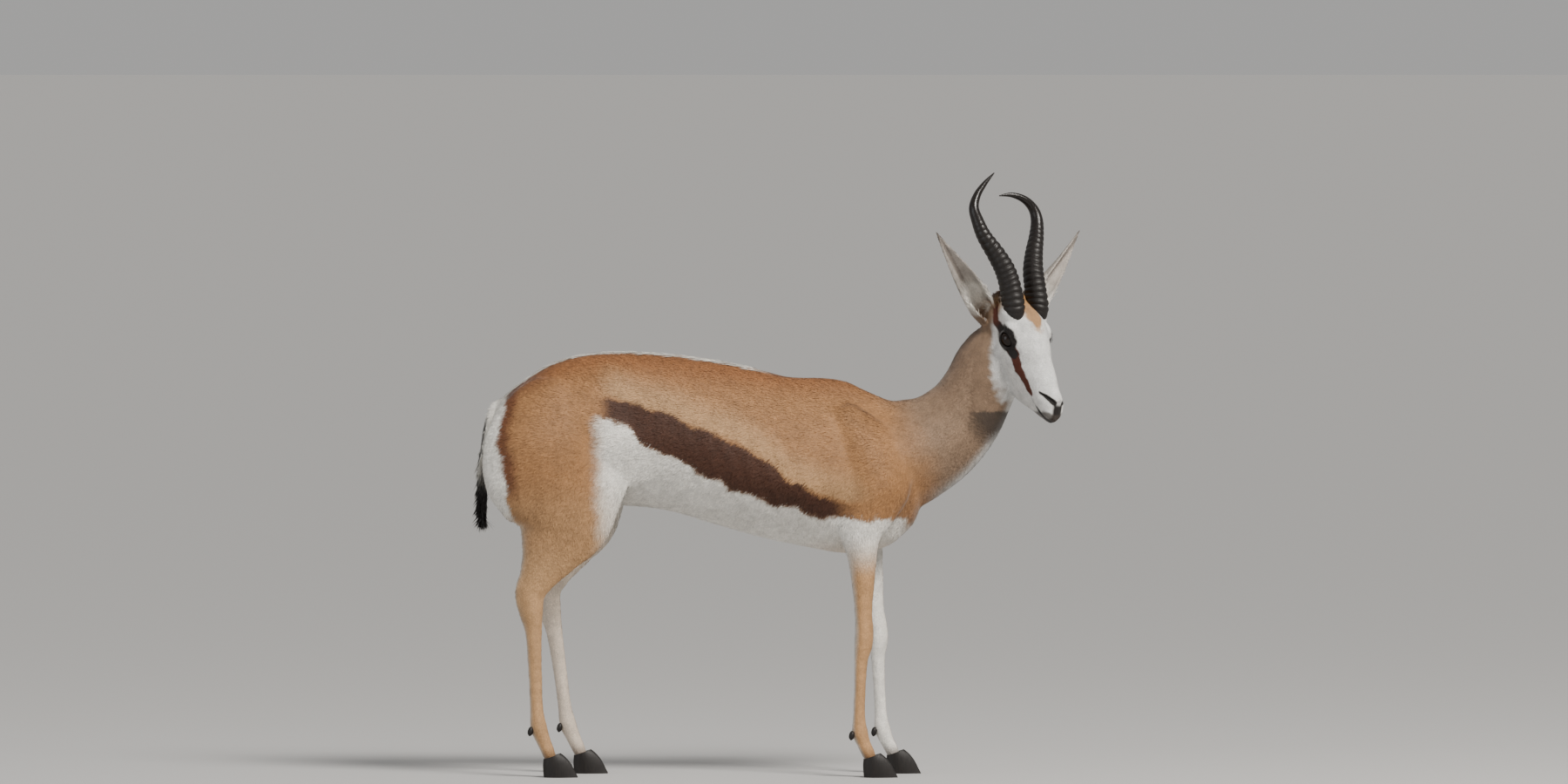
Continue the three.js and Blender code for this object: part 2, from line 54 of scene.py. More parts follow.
LEFT_WAY = np.array([math.sin(HEAD_YAW), math.cos(HEAD_YAW), 0.0])
CROWN_WAY = np.cross(NOSE_WAY, LEFT_WAY)
HEAD_TURN = np.stack([NOSE_WAY, LEFT_WAY, CROWN_WAY], axis=1)
EYE_PLACE = np.array([-4.0, 41.0, 3.0])
EYE_RADIUS = 17.0


def middle_of(node):
    low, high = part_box(node)
    return np.array((low + high) / 2)


def from_head(points):
    return np.asarray(points, float) @ HEAD_TURN.T + HEAD_PLACE


eyes_middle = (middle_of("eye_right") + middle_of("eye_left")) / 2 / MILLIMETRE
STAND = eyes_middle - from_head([EYE_PLACE[0], 0, EYE_PLACE[2]])


def to_metres(points):
    return (np.asarray(points, float) + STAND) * MILLIMETRE


def to_millimetres(points):
    return np.asarray(points, float) / MILLIMETRE - STAND


def to_head(points):
    return (np.asarray(points, float) - HEAD_PLACE) @ HEAD_TURN


def step(low, high, value):
    share = np.clip((value - low) / (high - low), 0, 1)
    return share * share * (3 - 2 * share)


def new_piece(name, shape, material, *nodes, slot):
    bmesh.ops.recalc_face_normals(shape, faces=shape.faces)
    mesh = bpy.data.meshes.new(name)
    shape.to_mesh(mesh)
    shape.free()
    return finish_piece(bpy.data.objects.new(name, mesh), material, *nodes, slot=slot)


def finish_piece(piece, material, *nodes, slot):
    if piece.name not in bpy.context.scene.collection.objects:
        bpy.context.scene.collection.objects.link(piece)
    if material:
        piece.data.materials.append(material)
    piece.data.shade_smooth()
    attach(piece, "root")
    if nodes:
        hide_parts(*nodes)
    return piece


# Skin
# One hide covers trunk, neck, head, ears, tail and legs. Each form is drawn as a body of rounded
# sections, all are fused in one closed surface, and the hide lies inside the coat's outer face.
TRUNK = [
    [-530, 0, 668, 14, 18, 9, 10, 9], [-522, 0, 668, 34, 50, 32, 36, 32],
    [-496, 0, 668, 72, 92, 56, 66, 60], [-452, 0, 666, 108, 124, 76, 92, 84],
    [-400, 0, 663, 137, 138, 87, 104, 94], [-330, 0, 658, 155, 142, 91, 108, 97],
    [-250, 0, 650, 163, 137, 88, 103, 93], [-165, 0, 636, 169, 134, 88, 106, 98],
    [-80, 0, 618, 172, 140, 90, 116, 109], [10, 0, 602, 166, 150, 87, 121, 116],
    [90, 0, 592, 173, 158, 76, 117, 111], [150, 0, 588, 168, 164, 64, 107, 100],
    [205, 0, 588, 145, 158, 56, 95, 88], [250, 0, 588, 124, 138, 53, 82, 74],
    [285, 0, 586, 92, 104, 46, 63, 56], [304, 0, 584, 40, 46, 24, 30, 26],
]
NECK = [
    [170, 0, 596, 104, 112, 66, 92, 84], [222, 0, 606, 108, 112, 64, 90, 80],
    [272, -2, 622, 104, 106, 60, 82, 70], [326, -7, 648, 92, 92, 54, 70, 60],
    [370, -15, 688, 84, 80, 50, 62, 54], [400, -25, 736, 78, 72, 48, 58, 50],
    [422, -34, 784, 76, 68, 46, 55, 48], [438, -40, 828, 60, 58, 40, 48, 42],
    [448, -44, 858, 36, 34, 26, 32, 28],
]
HEAD = [
    [-106, 0, -24, 10, 12, 9, 10, 9], [-100, 0, -22, 28, 32, 26, 30, 26],
    [-84, 0, -18, 45, 52, 40, 44, 36], [-62, 0, -16, 58, 64, 48, 50, 40],
    [-40, 0, -17, 67, 73, 51, 51, 41], [-14, 0, -18, 69, 80, 53, 49, 37],
    [12, 0, -20, 67, 83, 50, 45, 33], [38, 0, -21, 62, 80, 43, 40, 29],
    [66, 0, -21, 55, 67, 35, 34, 25], [94, 0, -20, 48, 53, 29, 29, 22],
    [120, 0, -18, 41, 40, 25, 25, 19], [142, 0, -16, 37, 31.5, 23, 24, 17],
    [156, 0, -15, 32, 24.5, 20, 21.5, 14], [165, 0, -12, 22, 17, 15, 16, 10],
    [170, 0, -9, 9, 9, 6, 7, 5],
]
FORELEG = [
    [140, 44, 705, 24, 26, 12, 16, 12], [158, 56, 668, 50, 50, 20, 27, 21],
    [190, 72, 612, 70, 72, 27, 36, 29], [203, 76, 556, 70, 76, 28, 39, 31],
    [194, 77, 506, 52, 66, 26, 36, 29], [182, 76, 462, 36, 50, 22, 30, 25],
    [181, 74, 418, 29, 31, 18, 24, 19], [183, 72, 366, 23.5, 23, 15.5, 19, 15.5],
    [185, 71, 316, 19, 18.5, 13.5, 16, 13.5], [187, 70, 282, 20.5, 19, 15.5, 18.5, 15],
    [187, 70, 252, 19.5, 19.5, 14.5, 18, 15], [184, 70, 222, 14.5, 16, 11, 13.5, 11],
    [183, 70, 165, 12.5, 14, 9.8, 11.5, 10], [183, 70, 114, 13, 15, 10.3, 12, 10.5],
    [185, 70, 88, 16, 18.5, 13, 16, 14], [192, 70, 66, 14, 16.5, 12.5, 15, 13.5],
    [200, 70, 48, 14, 15, 13, 15.5, 14], [206, 70, 32, 13, 13, 12, 14, 12],
]
HINDLEG = [
    [-392, 38, 752, 62, 56, 22, 30, 22], [-404, 49, 704, 100, 100, 36, 48, 38],
    [-414, 66, 640, 124, 130, 42, 56, 47], [-412, 71, 580, 138, 134, 38, 55, 47],
    [-402, 72, 528, 138, 114, 33, 48, 42], [-396, 70, 478, 102, 88, 29, 40, 34],
    [-410, 69, 428, 62, 62, 23, 30, 26], [-427, 69, 384, 37, 42, 18, 23, 18],
    [-438, 69, 350, 25, 38, 16, 20.5, 14.5], [-437, 70, 316, 21.5, 30, 14.5, 19, 13.5],
    [-432, 70, 276, 16.5, 20, 12, 14.5, 11], [-426, 70, 205, 14, 16.5, 10.8, 12.5, 10.2],
    [-420, 70, 132, 13.5, 16, 10.8, 12.8, 11], [-415, 70, 96, 17, 19, 13.5, 16.5, 14.5],
    [-406, 70, 72, 14.5, 17, 13, 15.5, 14], [-397, 70, 50, 14, 15, 13, 15.5, 14],
    [-391, 70, 32, 13, 13, 12, 14, 12],
]
TAIL = [
    [-490, 0, 724, 10, 10, 10, 11, 10], [-512, 0, 716, 9, 9, 9, 10, 9],
    [-530, 0, 695, 8, 8, 9, 10, 9], [-541, 0, 660, 7, 7, 9, 10, 9],
    [-547, 0, 618, 6, 6, 8, 9, 8], [-549, 0, 575, 5, 5, 7, 8, 7],
    [-550, 0, 530, 5, 5, 6, 7, 6], [-549, 0, 495, 2, 2, 2, 3, 2],
]
FOOT_AHEAD = {"foreleg_right": -12, "foreleg_left": 34, "hindleg_right": -26, "hindleg_left": 30}
COAT_DEPTH = {"trunk": 2.4, "neck": 2.4, "head": 1.0, "leg": 1.4, "tail": 0.5}
UP = np.array([0.0, 0.0, 1.0])
AHEAD = np.array([1.0, 0.0, 0.0])


# A row of sections read at any place between them, bent smoothly through all of them.
def along_rows(rows, place):
    rows = np.asarray(rows, float)
    last = len(rows) - 1
    place = np.clip(np.asarray(place, float), 0, last)
    index = np.minimum(place.astype(int), last - 1)
    share = (place - index)[:, None]
    before, start, end, after = (rows[np.clip(index + k, 0, last)] for k in (-1, 0, 1, 2))
    way_in, way_out = (end - before) / 2, (after - start) / 2
    s2, s3 = share**2, share**3
    return ((2 * s3 - 3 * s2 + 1) * start + (s3 - 2 * s2 + share) * way_in
            + (3 * s2 - 2 * s3) * end + (s3 - s2) * way_out)


# A closed tube through rings of points: a grid laid along them, sewn up at its seam and at both ends.
def add_rings(shape, rings):
    count, sides = rings.shape[:2]
    tube = bmesh.new()
    made = bmesh.ops.create_grid(tube, x_segments=sides, y_segments=count - 1, size=1.0)["verts"]
    flat = np.array([vert.co[:2] for vert in made])
    column = np.rint((flat[:, 0] + 1) / 2 * sides).astype(int)
    row = np.rint((flat[:, 1] + 1) / 2 * (count - 1)).astype(int)
    table = {}
    for vert, i, j in zip(made, row, column):
        vert.co = rings[i, j % sides]
        table[i, j] = vert
    ends = [table[i, j] for i in (0, count - 1) for j in range(sides)]
    bmesh.ops.weld_verts(tube, targetmap={table[i, sides]: table[i, 0] for i in range(count)})
    open_edges = {edge for vert in ends for edge in vert.link_edges if edge.is_boundary}
    bmesh.ops.edgeloop_fill(tube, edges=list(open_edges))
    mesh = bpy.data.meshes.new("tube")
    tube.to_mesh(mesh)
    tube.free()
    shape.from_mesh(mesh)
    bpy.data.meshes.remove(mesh)


# A closed body through rounded sections, added to a bmesh. Each row holds the section's centre, its
# reach along the guide and against it, and its half width on the guide's side, in the middle and opposite.
WIDE_LEVEL = 0.7
LEAST_REACH = 0.2


def add_sections(shape, rows, guide, sides, steps, grow=0.0, side=1, place=lambda points: points):
    spots = np.linspace(0, len(rows) - 1, steps + 1)
    values = along_rows(rows, spots)
    values[:, 1] *= side
    centres = values[:, :3]
    way = np.gradient(centres, axis=0)
    way /= np.linalg.norm(way, axis=1)[:, None]
    across = np.cross(way, guide)
    across /= np.linalg.norm(across, axis=1)[:, None]
    up = np.cross(across, way)
    centres[0] -= way[0] * grow
    centres[-1] += way[-1] * grow
    angle = np.arange(sides) / sides * 2 * np.pi
    level = np.cos(angle)[None, :]
    reach = np.where(level > 0, values[:, 3:4], values[:, 4:5]) + grow
    lean = (values[:, 5:6] - values[:, 7:8]) / (2 * WIDE_LEVEL)
    bulge = ((values[:, 5:6] + values[:, 7:8]) / 2 - values[:, 6:7]) / WIDE_LEVEL**2
    width = values[:, 6:7] + lean * level + bulge * level**2 + grow
    reach, width = np.maximum(reach, LEAST_REACH), np.maximum(width, LEAST_REACH)
    points = (centres[:, None, :] + up[:, None, :] * (level * reach)[:, :, None]
              + across[:, None, :] * (np.sin(angle)[None, :] * width)[:, :, None])
    add_rings(shape, to_metres(place(points.reshape(-1, 3))).reshape(points.shape))


def add_oval(shape, centre, half, side=1, rings=24, axes=None):
    made = bmesh.ops.create_uvsphere(shape, u_segments=2 * rings, v_segments=rings, radius=1.0)["verts"]
    local = np.array([vert.co for vert in made]) * half
    if axes is not None:
        local = local @ axes
    points = to_metres(from_head(local + np.asarray(centre) * [1, side, 1]))
    for vert, point in zip(made, points):
        vert.co = point


def leg_rows(name):
    rows = FORELEG if name.startswith("fore") else HINDLEG
    hip = 640 if name.startswith("fore") else 690
    return [[x + FOOT_AHEAD[name] * float(step(0, hip, hip - z)), y, z, *rest] for x, y, z, *rest in rows]


def ear_line(side):
    flip = np.array([1, side, 1])
    return np.array([-70, 30, -32]) * flip, np.array([-197, 181, 83]) * flip


EAR_OPENS = np.array([0.62, 0.3, 0.72])
EAR_BOW = np.array([13.0, 5.0, 8.0])
EAR_ROWS = [  # share of the length, radius of the roll, half angle of the wall
    [0, 17, 150], [0.12, 23, 142], [0.26, 25, 118], [0.4, 23.5, 102], [0.56, 19.5, 92],
    [0.72, 13.5, 82], [0.86, 7.5, 74], [0.96, 3.2, 68], [1, 1.4, 64],
]


# An ear is a leaf rolled to a cup: each section is a bent strip, drawn out along the ear.
def add_ear(shape, side, steps=60, half=22, most_wall=3.4):
    root, tip = ear_line(side)
    flip = np.array([1, side, 1])
    way = (tip - root) / np.linalg.norm(tip - root)
    opens = EAR_OPENS * flip
    opens = opens - way * (way @ opens)
    opens /= np.linalg.norm(opens)
    across = np.cross(way, opens)
    rings = []
    for share, radius, degrees in along_rows(EAR_ROWS, np.linspace(0, len(EAR_ROWS) - 1, steps + 1)):
        centre = root + (tip - root) * share + EAR_BOW * flip * math.sin(share * math.pi)
        wall = min(most_wall, 0.9 * radius + 0.4)
        outer = np.radians(np.linspace(-degrees, degrees, half))
        inner = np.radians(np.linspace(degrees - 3, 3 - degrees, half))
        angle = np.concatenate([outer, inner])
        reach = np.concatenate([np.full(half, radius + 0.2), np.full(half, radius + 0.2 - wall)])
        rings.append(centre + (-opens * np.cos(angle)[:, None] - across * np.sin(angle)[:, None])
                     * reach[:, None])
    add_rings(shape, to_metres(from_head(np.array(rings).reshape(-1, 3))).reshape(len(rings), -1, 3))


BROW = ([-12, 38, 19], [24, 15, 13])
BOSS = ([-46, 29, 24], [32, 23, 22])
LID_THICKNESS = 2.4
hide = bmesh.new()
add_sections(hide, TRUNK, UP, 96, 150, -COAT_DEPTH["trunk"])
add_sections(hide, NECK, UP, 80, 90, -COAT_DEPTH["neck"])
add_sections(hide, HEAD, UP, 96, 120, -COAT_DEPTH["head"], place=from_head)
for leg_name in FOOT_AHEAD:
    leg_side = -1 if leg_name.endswith("right") else 1
    add_sections(hide, leg_rows(leg_name), AHEAD, 64, 190, -COAT_DEPTH["leg"], side=leg_side)
add_sections(hide, TAIL, AHEAD, 32, 60, -COAT_DEPTH["tail"])
for ear_side in (-1, 1):
    add_ear(hide, ear_side)
    add_oval(hide, *BROW, ear_side)
    add_oval(hide, *BOSS, ear_side)
    add_oval(hide, EYE_PLACE, [EYE_RADIUS + LID_THICKNESS] * 3, ear_side)
bmesh.ops.recalc_face_normals(hide, faces=hide.faces)

hide_mesh = bpy.data.meshes.new("skin")
hide.to_mesh(hide_mesh)
hide.free()
skin = bpy.data.objects.new("skin", hide_mesh)
bpy.context.scene.collection.objects.link(skin)


def apply_modifiers(piece):
    graph = bpy.context.evaluated_depsgraph_get()
    made = bpy.data.meshes.new_from_object(piece.evaluated_get(graph))
    piece.modifiers.clear()
    old = piece.data
    piece.data = made
    bpy.data.meshes.remove(old)


VOXEL = 0.0018
remesh = skin.modifiers.new("fuse", "REMESH")
remesh.mode = "VOXEL"
remesh.voxel_size = VOXEL
apply_modifiers(skin)


def values_of(items, attribute, width, kind=np.float32):
    flat = np.empty(len(items) * width, kind)
    items.foreach_get(attribute, flat)
    return flat.reshape(-1, width)


def points_of(mesh):
    return values_of(mesh.vertices, "co", 3).astype(float)


def normals_of(mesh):
    return values_of(mesh.vertices, "normal", 3).astype(float)


# Places on the animal, used by the relief, the markings and the lie of the coat. The head's own plane
# parts it from the neck, and an ear is known by how far along its line a point is.
def ear_place(local):
    side = np.where(local[:, 1] < 0, -1.0, 1.0)
    root, tip = ear_line(1)
    flipped = local * np.stack([np.ones_like(side), side, np.ones_like(side)], axis=1)
    length = np.linalg.norm(tip - root)
    way = (tip - root) / length
    share = (flipped - root) @ way / length
    bowed = root + np.outer(share, tip - root) + np.outer(np.sin(np.clip(share, 0, 1) * np.pi), EAR_BOW)
    off = flipped - bowed
    return share, off, side


def ear_cover(local, start=0.1, full=0.18):
    share, off, _ = ear_place(local)
    return step(start, full, share) * step(62, 48, np.linalg.norm(off, axis=1))


def head_share(local):
    return np.maximum(step(-74, -52, 0.61 * local[:, 0] + 0.79 * local[:, 2]), ear_cover(local))


def smooth_skin(group_name, amount, rounds):
    softened = skin.modifiers.new("soften", "SMOOTH")
    softened.vertex_group = group_name
    softened.factor = amount
    softened.iterations = rounds
    apply_modifiers(skin)


def set_group(name, weight):
    if name in skin.vertex_groups:
        skin.vertex_groups.remove(skin.vertex_groups[name])
    group = skin.vertex_groups.new(name=name)
    levels = np.round(weight * 10).astype(int)
    for level in range(1, 11):
        chosen = np.nonzero(levels == level)[0]
        if len(chosen):
            group.add(chosen.tolist(), level / 10, "REPLACE")


spots = to_millimetres(points_of(skin.data))
local = to_head(spots)
on_head = head_share(local)
on_ear = ear_cover(local)
low_leg = step(470, 400, spots[:, 2])
on_tail = step(-512, -526, spots[:, 0]) * step(22, 16, np.abs(spots[:, 1]))
set_group("body", np.clip(1 - on_head - 0.8 * low_leg - on_tail, 0, 1))
smooth_skin("body", 0.7, 200)
set_group("face", np.clip(on_head * (1 - 0.8 * on_ear) + low_leg, 0, 1))
smooth_skin("face", 0.5, 9)

# Bones and muscles that show through: each is a low rise or hollow with a soft edge, on both sides.
RELIEF = [  # along, out, up, reach along, reach up, height
    (120, 60, 690, 30, 46, 1.5), (226, 95, 560, 34, 40, 4.5), (140, 100, 520, 30, 30, -3.0),
    (92, 105, 600, 22, 70, -3.0), (-322, 78, 752, 30, 24, 3.5), (-270, 95, 690, 40, 40, -7.0),
    (-262, 90, 570, 30, 30, 4.0), (-470, 100, 640, 40, 46, 4.0), (-345, 110, 620, 14, 60, -2.5),
    (-455, 95, 520, 20, 40, -2.5), (30, 118, 560, 70, 30, 2.0), (-130, 100, 640, 60, 40, 2.0),
]
spots = to_millimetres(points_of(skin.data))
facing = normals_of(skin.data)
rise = np.zeros(len(spots))
for ahead, out, up, reach_ahead, reach_up, height in RELIEF:
    near = np.exp(-((spots[:, 0] - ahead) / reach_ahead) ** 2 - ((spots[:, 2] - up) / reach_up) ** 2)
    rise += height * near * step(0.25, 0.8, np.abs(facing[:, 1])) * step(20, 60, np.abs(spots[:, 1]))
ribs = np.sin((spots[:, 0] + 0.35 * spots[:, 2]) / 5.2)
rib_area = step(-210, -130, spots[:, 0]) * step(90, 30, spots[:, 0]) * step(480, 540, spots[:, 2])
rise += 0.22 * ribs * rib_area * step(700, 640, spots[:, 2])
local = to_head(spots)
FACE_RELIEF = [  # towards the nose, out, up, reach, height
    (24, 47, -22, 17, 2.6), (44, 40, -30, 15, 1.8), (30, 40, 4, 10, -2.6), (60, 30, 8, 16, -2.0),
    (6, 34, -62, 26, 2.6), (52, 26, -66, 18, -1.5), (94, 14, 22, 20, 1.4), (128, 22, -8, 11, 1.6),
    (-30, 48, -20, 16, -1.6), (108, 24, -24, 10, -1.4), (-14, 22, 44, 14, 1.5), (16, 14, 40, 16, -1.2),
]
for ahead, out, up, reach, height in FACE_RELIEF:
    away = ((local[:, 0] - ahead) ** 2 + (np.abs(local[:, 1]) - out) ** 2 + (local[:, 2] - up) ** 2)
    rise += height * np.exp(-away / reach**2) * head_share(local)
spots += facing * rise[:, None]
skin.data.vertices.foreach_set("co", to_metres(spots).astype(np.float32).ravel())
skin.data.update()

# The eye's opening between the lids, the nostrils and the line of the mouth are cut in the fused hide.
EYE_LOOKS = np.array([0.3, 0.92, 0.24])
LID_OPENING = [15.5, 10.5, 26]
LID_SLANT = np.array([1, 0, -0.12])
NOSTRIL = [[118, 23, -1, 0.8], [128, 20, 4, 2], [138, 17, 8, 2.8], [148, 13.5, 11, 3.4], [157, 9, 12, 3]]


def eye_axes(side):
    flip = np.array([1, side, 1])
    out = EYE_LOOKS * flip / np.linalg.norm(EYE_LOOKS)
    along = LID_SLANT - out * (out @ LID_SLANT)
    along /= np.linalg.norm(along)
    return np.stack([along, np.cross(out, along), out])


def half_width(x, z):
    place = np.interp(x, [row[0] for row in HEAD], range(len(HEAD)))
    row = along_rows(HEAD, [place])[0]
    level = np.clip((z - row[2]) / (row[3] if z > row[2] else row[4]), -1, 1)
    lean = (row[5] - row[7]) / (2 * WIDE_LEVEL)
    bulge = ((row[5] + row[7]) / 2 - row[6]) / WIDE_LEVEL**2
    return math.sqrt(1 - level**2) * (row[6] + lean * level + bulge * level**2)


MOUTH_CORNER, MOUTH_FRONT, MOUTH_HEIGHT = 112, 168, -26


def cut_openings(shape):
    bmesh.ops.recalc_face_normals(shape, faces=shape.faces)
    mesh = bpy.data.meshes.new("openings")
    shape.to_mesh(mesh)
    shape.free()
    cutter = bpy.data.objects.new("openings", mesh)
    bpy.context.scene.collection.objects.link(cutter)
    cut = skin.modifiers.new("openings", "BOOLEAN")
    cut.operation = "DIFFERENCE"
    cut.solver = "MANIFOLD"
    cut.object = cutter
    apply_modifiers(skin)
    bpy.data.objects.remove(cutter)


eye_balls, lid_openings, nostrils, mouth = (bmesh.new() for _ in range(4))
for eye_side in (-1, 1):
    add_oval(eye_balls, EYE_PLACE, [EYE_RADIUS + 0.2] * 3, eye_side, rings=32)
    axes = eye_axes(eye_side)
    opening_place = EYE_PLACE * [1, eye_side, 1] + axes[2] * (EYE_RADIUS - 3)
    add_oval(lid_openings, opening_place, LID_OPENING, rings=32, axes=axes)
    nostril = [[*spot, *[radius] * 5] for *spot, radius in NOSTRIL]
    add_sections(nostrils, nostril, UP, 24, 30, side=eye_side, place=from_head)
mouth_path = []
for spot in np.linspace(0, 1, 14):
    x = MOUTH_CORNER + (MOUTH_FRONT - 4 - MOUTH_CORNER) * spot
    mouth_path.append([x, half_width(x, MOUTH_HEIGHT) - 1.0, MOUTH_HEIGHT - 1.2 * math.sin(spot * 3)])
mouth_path = ([[x, -y, z] for x, y, z in mouth_path] + [[MOUTH_FRONT, 0, MOUTH_HEIGHT]]
              + mouth_path[::-1])
half_way = (len(mouth_path) - 1) / 2
slit = [[*spot, 0.9 - 0.4 * abs(k - half_way) / half_way, 0.9, 2.2, 2.6, 2.2]
        for k, spot in enumerate(mouth_path)]
add_sections(mouth, slit, UP, 16, 90, place=from_head)
for opening in (eye_balls, lid_openings, nostrils, mouth):
    cut_openings(opening)

# Broad parts of the trunk need fewer faces than the head.
local = to_head(to_millimetres(points_of(skin.data)))
set_group("plain", np.clip(1 - head_share(local) * step(-40, 0, local[:, 0] + 40), 0, 1))
SKIN_FACES = 180000
triangles = sum(len(face.vertices) - 2 for face in skin.data.polygons)
fewer = skin.modifiers.new("fewer faces", "DECIMATE")
fewer.vertex_group = "plain"
fewer.vertex_group_factor = 1.0
fewer.ratio = SKIN_FACES / triangles
fewer.use_collapse_triangulate = True
apply_modifiers(skin)
skin.vertex_groups.clear()

bpy.ops.object.select_all(action="DESELECT")
bpy.context.view_layer.objects.active = skin
skin.select_set(True)
while skin.data.uv_layers:
    skin.data.uv_layers.remove(skin.data.uv_layers[0])
skin.data.uv_layers.new(name="OFBake")
bpy.ops.object.mode_set(mode="EDIT")
bpy.ops.mesh.select_all(action="SELECT")
bpy.ops.uv.smart_project(angle_limit=math.radians(66), island_margin=0.0005)
bpy.ops.object.mode_set(mode="OBJECT")


# Markings
# The coat is cinnamon above and white below with a dark band along the flank. Face, rump and the long
# fold of hair on the back are white, and a red-brown stripe runs from each eye to the mouth's corner.
def linear(red, green, blue):
    value = np.array([red, green, blue]) / 255
    return np.where(value <= 0.04045, value / 12.92, ((value + 0.055) / 1.055) ** 2.4)


TAN = linear(153, 110, 70)
BACK_TAN = linear(134, 84, 46)
PALE_TAN = linear(180, 144, 104)
BAND = linear(66, 38, 24)
RUMP_BROWN = linear(92, 50, 28)
WHITE = linear(228, 224, 216)
FACE_WHITE = linear(222, 221, 218)
# The neck's grey-brown is partly its own colour and partly painted shade.
NECK_GREY_AND_SHADE = linear(128, 108, 90)
LEG_TAN = linear(182, 140, 96)
GINGER = linear(166, 124, 78)
STRIPE = linear(84, 40, 26)
BLACK = linear(26, 21, 19)
EAR_GREY = linear(150, 143, 135)
CROWN_BROWN = linear(84, 58, 42)


def wander(points, scale, seed=0.0):
    x, y, z = (points / scale).T + seed
    return (np.sin(x * 1.7 + 1.3 * np.sin(z * 1.1)) + np.sin(y * 2.3 + x * 0.7 + 2.0)
            + np.sin(z * 2.9 + 1.7 * np.sin(x * 0.9 + y))) / 3


def paint(colours, colour, mask):
    mask = np.clip(mask, 0, 1)[:, None]
    return colours * (1 - mask) + np.asarray(colour) * mask


def segment_distance(points, path):
    best = np.full(len(points), 1e9)
    for start, end in zip(path[:-1], path[1:]):
        start, end = np.array(start, float), np.array(end, float)
        way = end - start
        t = np.clip((points - start) @ way / (way @ way), 0, 1)
        best = np.minimum(best, np.linalg.norm(points - start - t[:, None] * way, axis=1))
    return best


BAND_TOP = ([-300, -272, -231, -189, -139, -56, 11, 44, 100, 150],
            [728, 717, 703, 692, 672, 642, 600, 567, 545, 530])
BAND_FOOT = ([-300, -256, -239, -189, -139, -89, -39, 11, 100, 150],
             [690, 667, 642, 617, 592, 567, 550, 525, 505, 498])
JAW_LINE = ([-110, -67, -38, -9, 18, 59, 70, 94, 120, 150, 175],
            [-3, -3, -19, -36, -55, -84, -97, -90, -76, -66, -60])
STRIPE_PATH = [(16, 45, 0), (34, 36, -3), (56, 34, -14), (84, 30, -16), (108, 25, -21)]
TEMPLE_PATH = [(-12, 46, 6), (-44, 47, -1), (-66, 43, 8)]


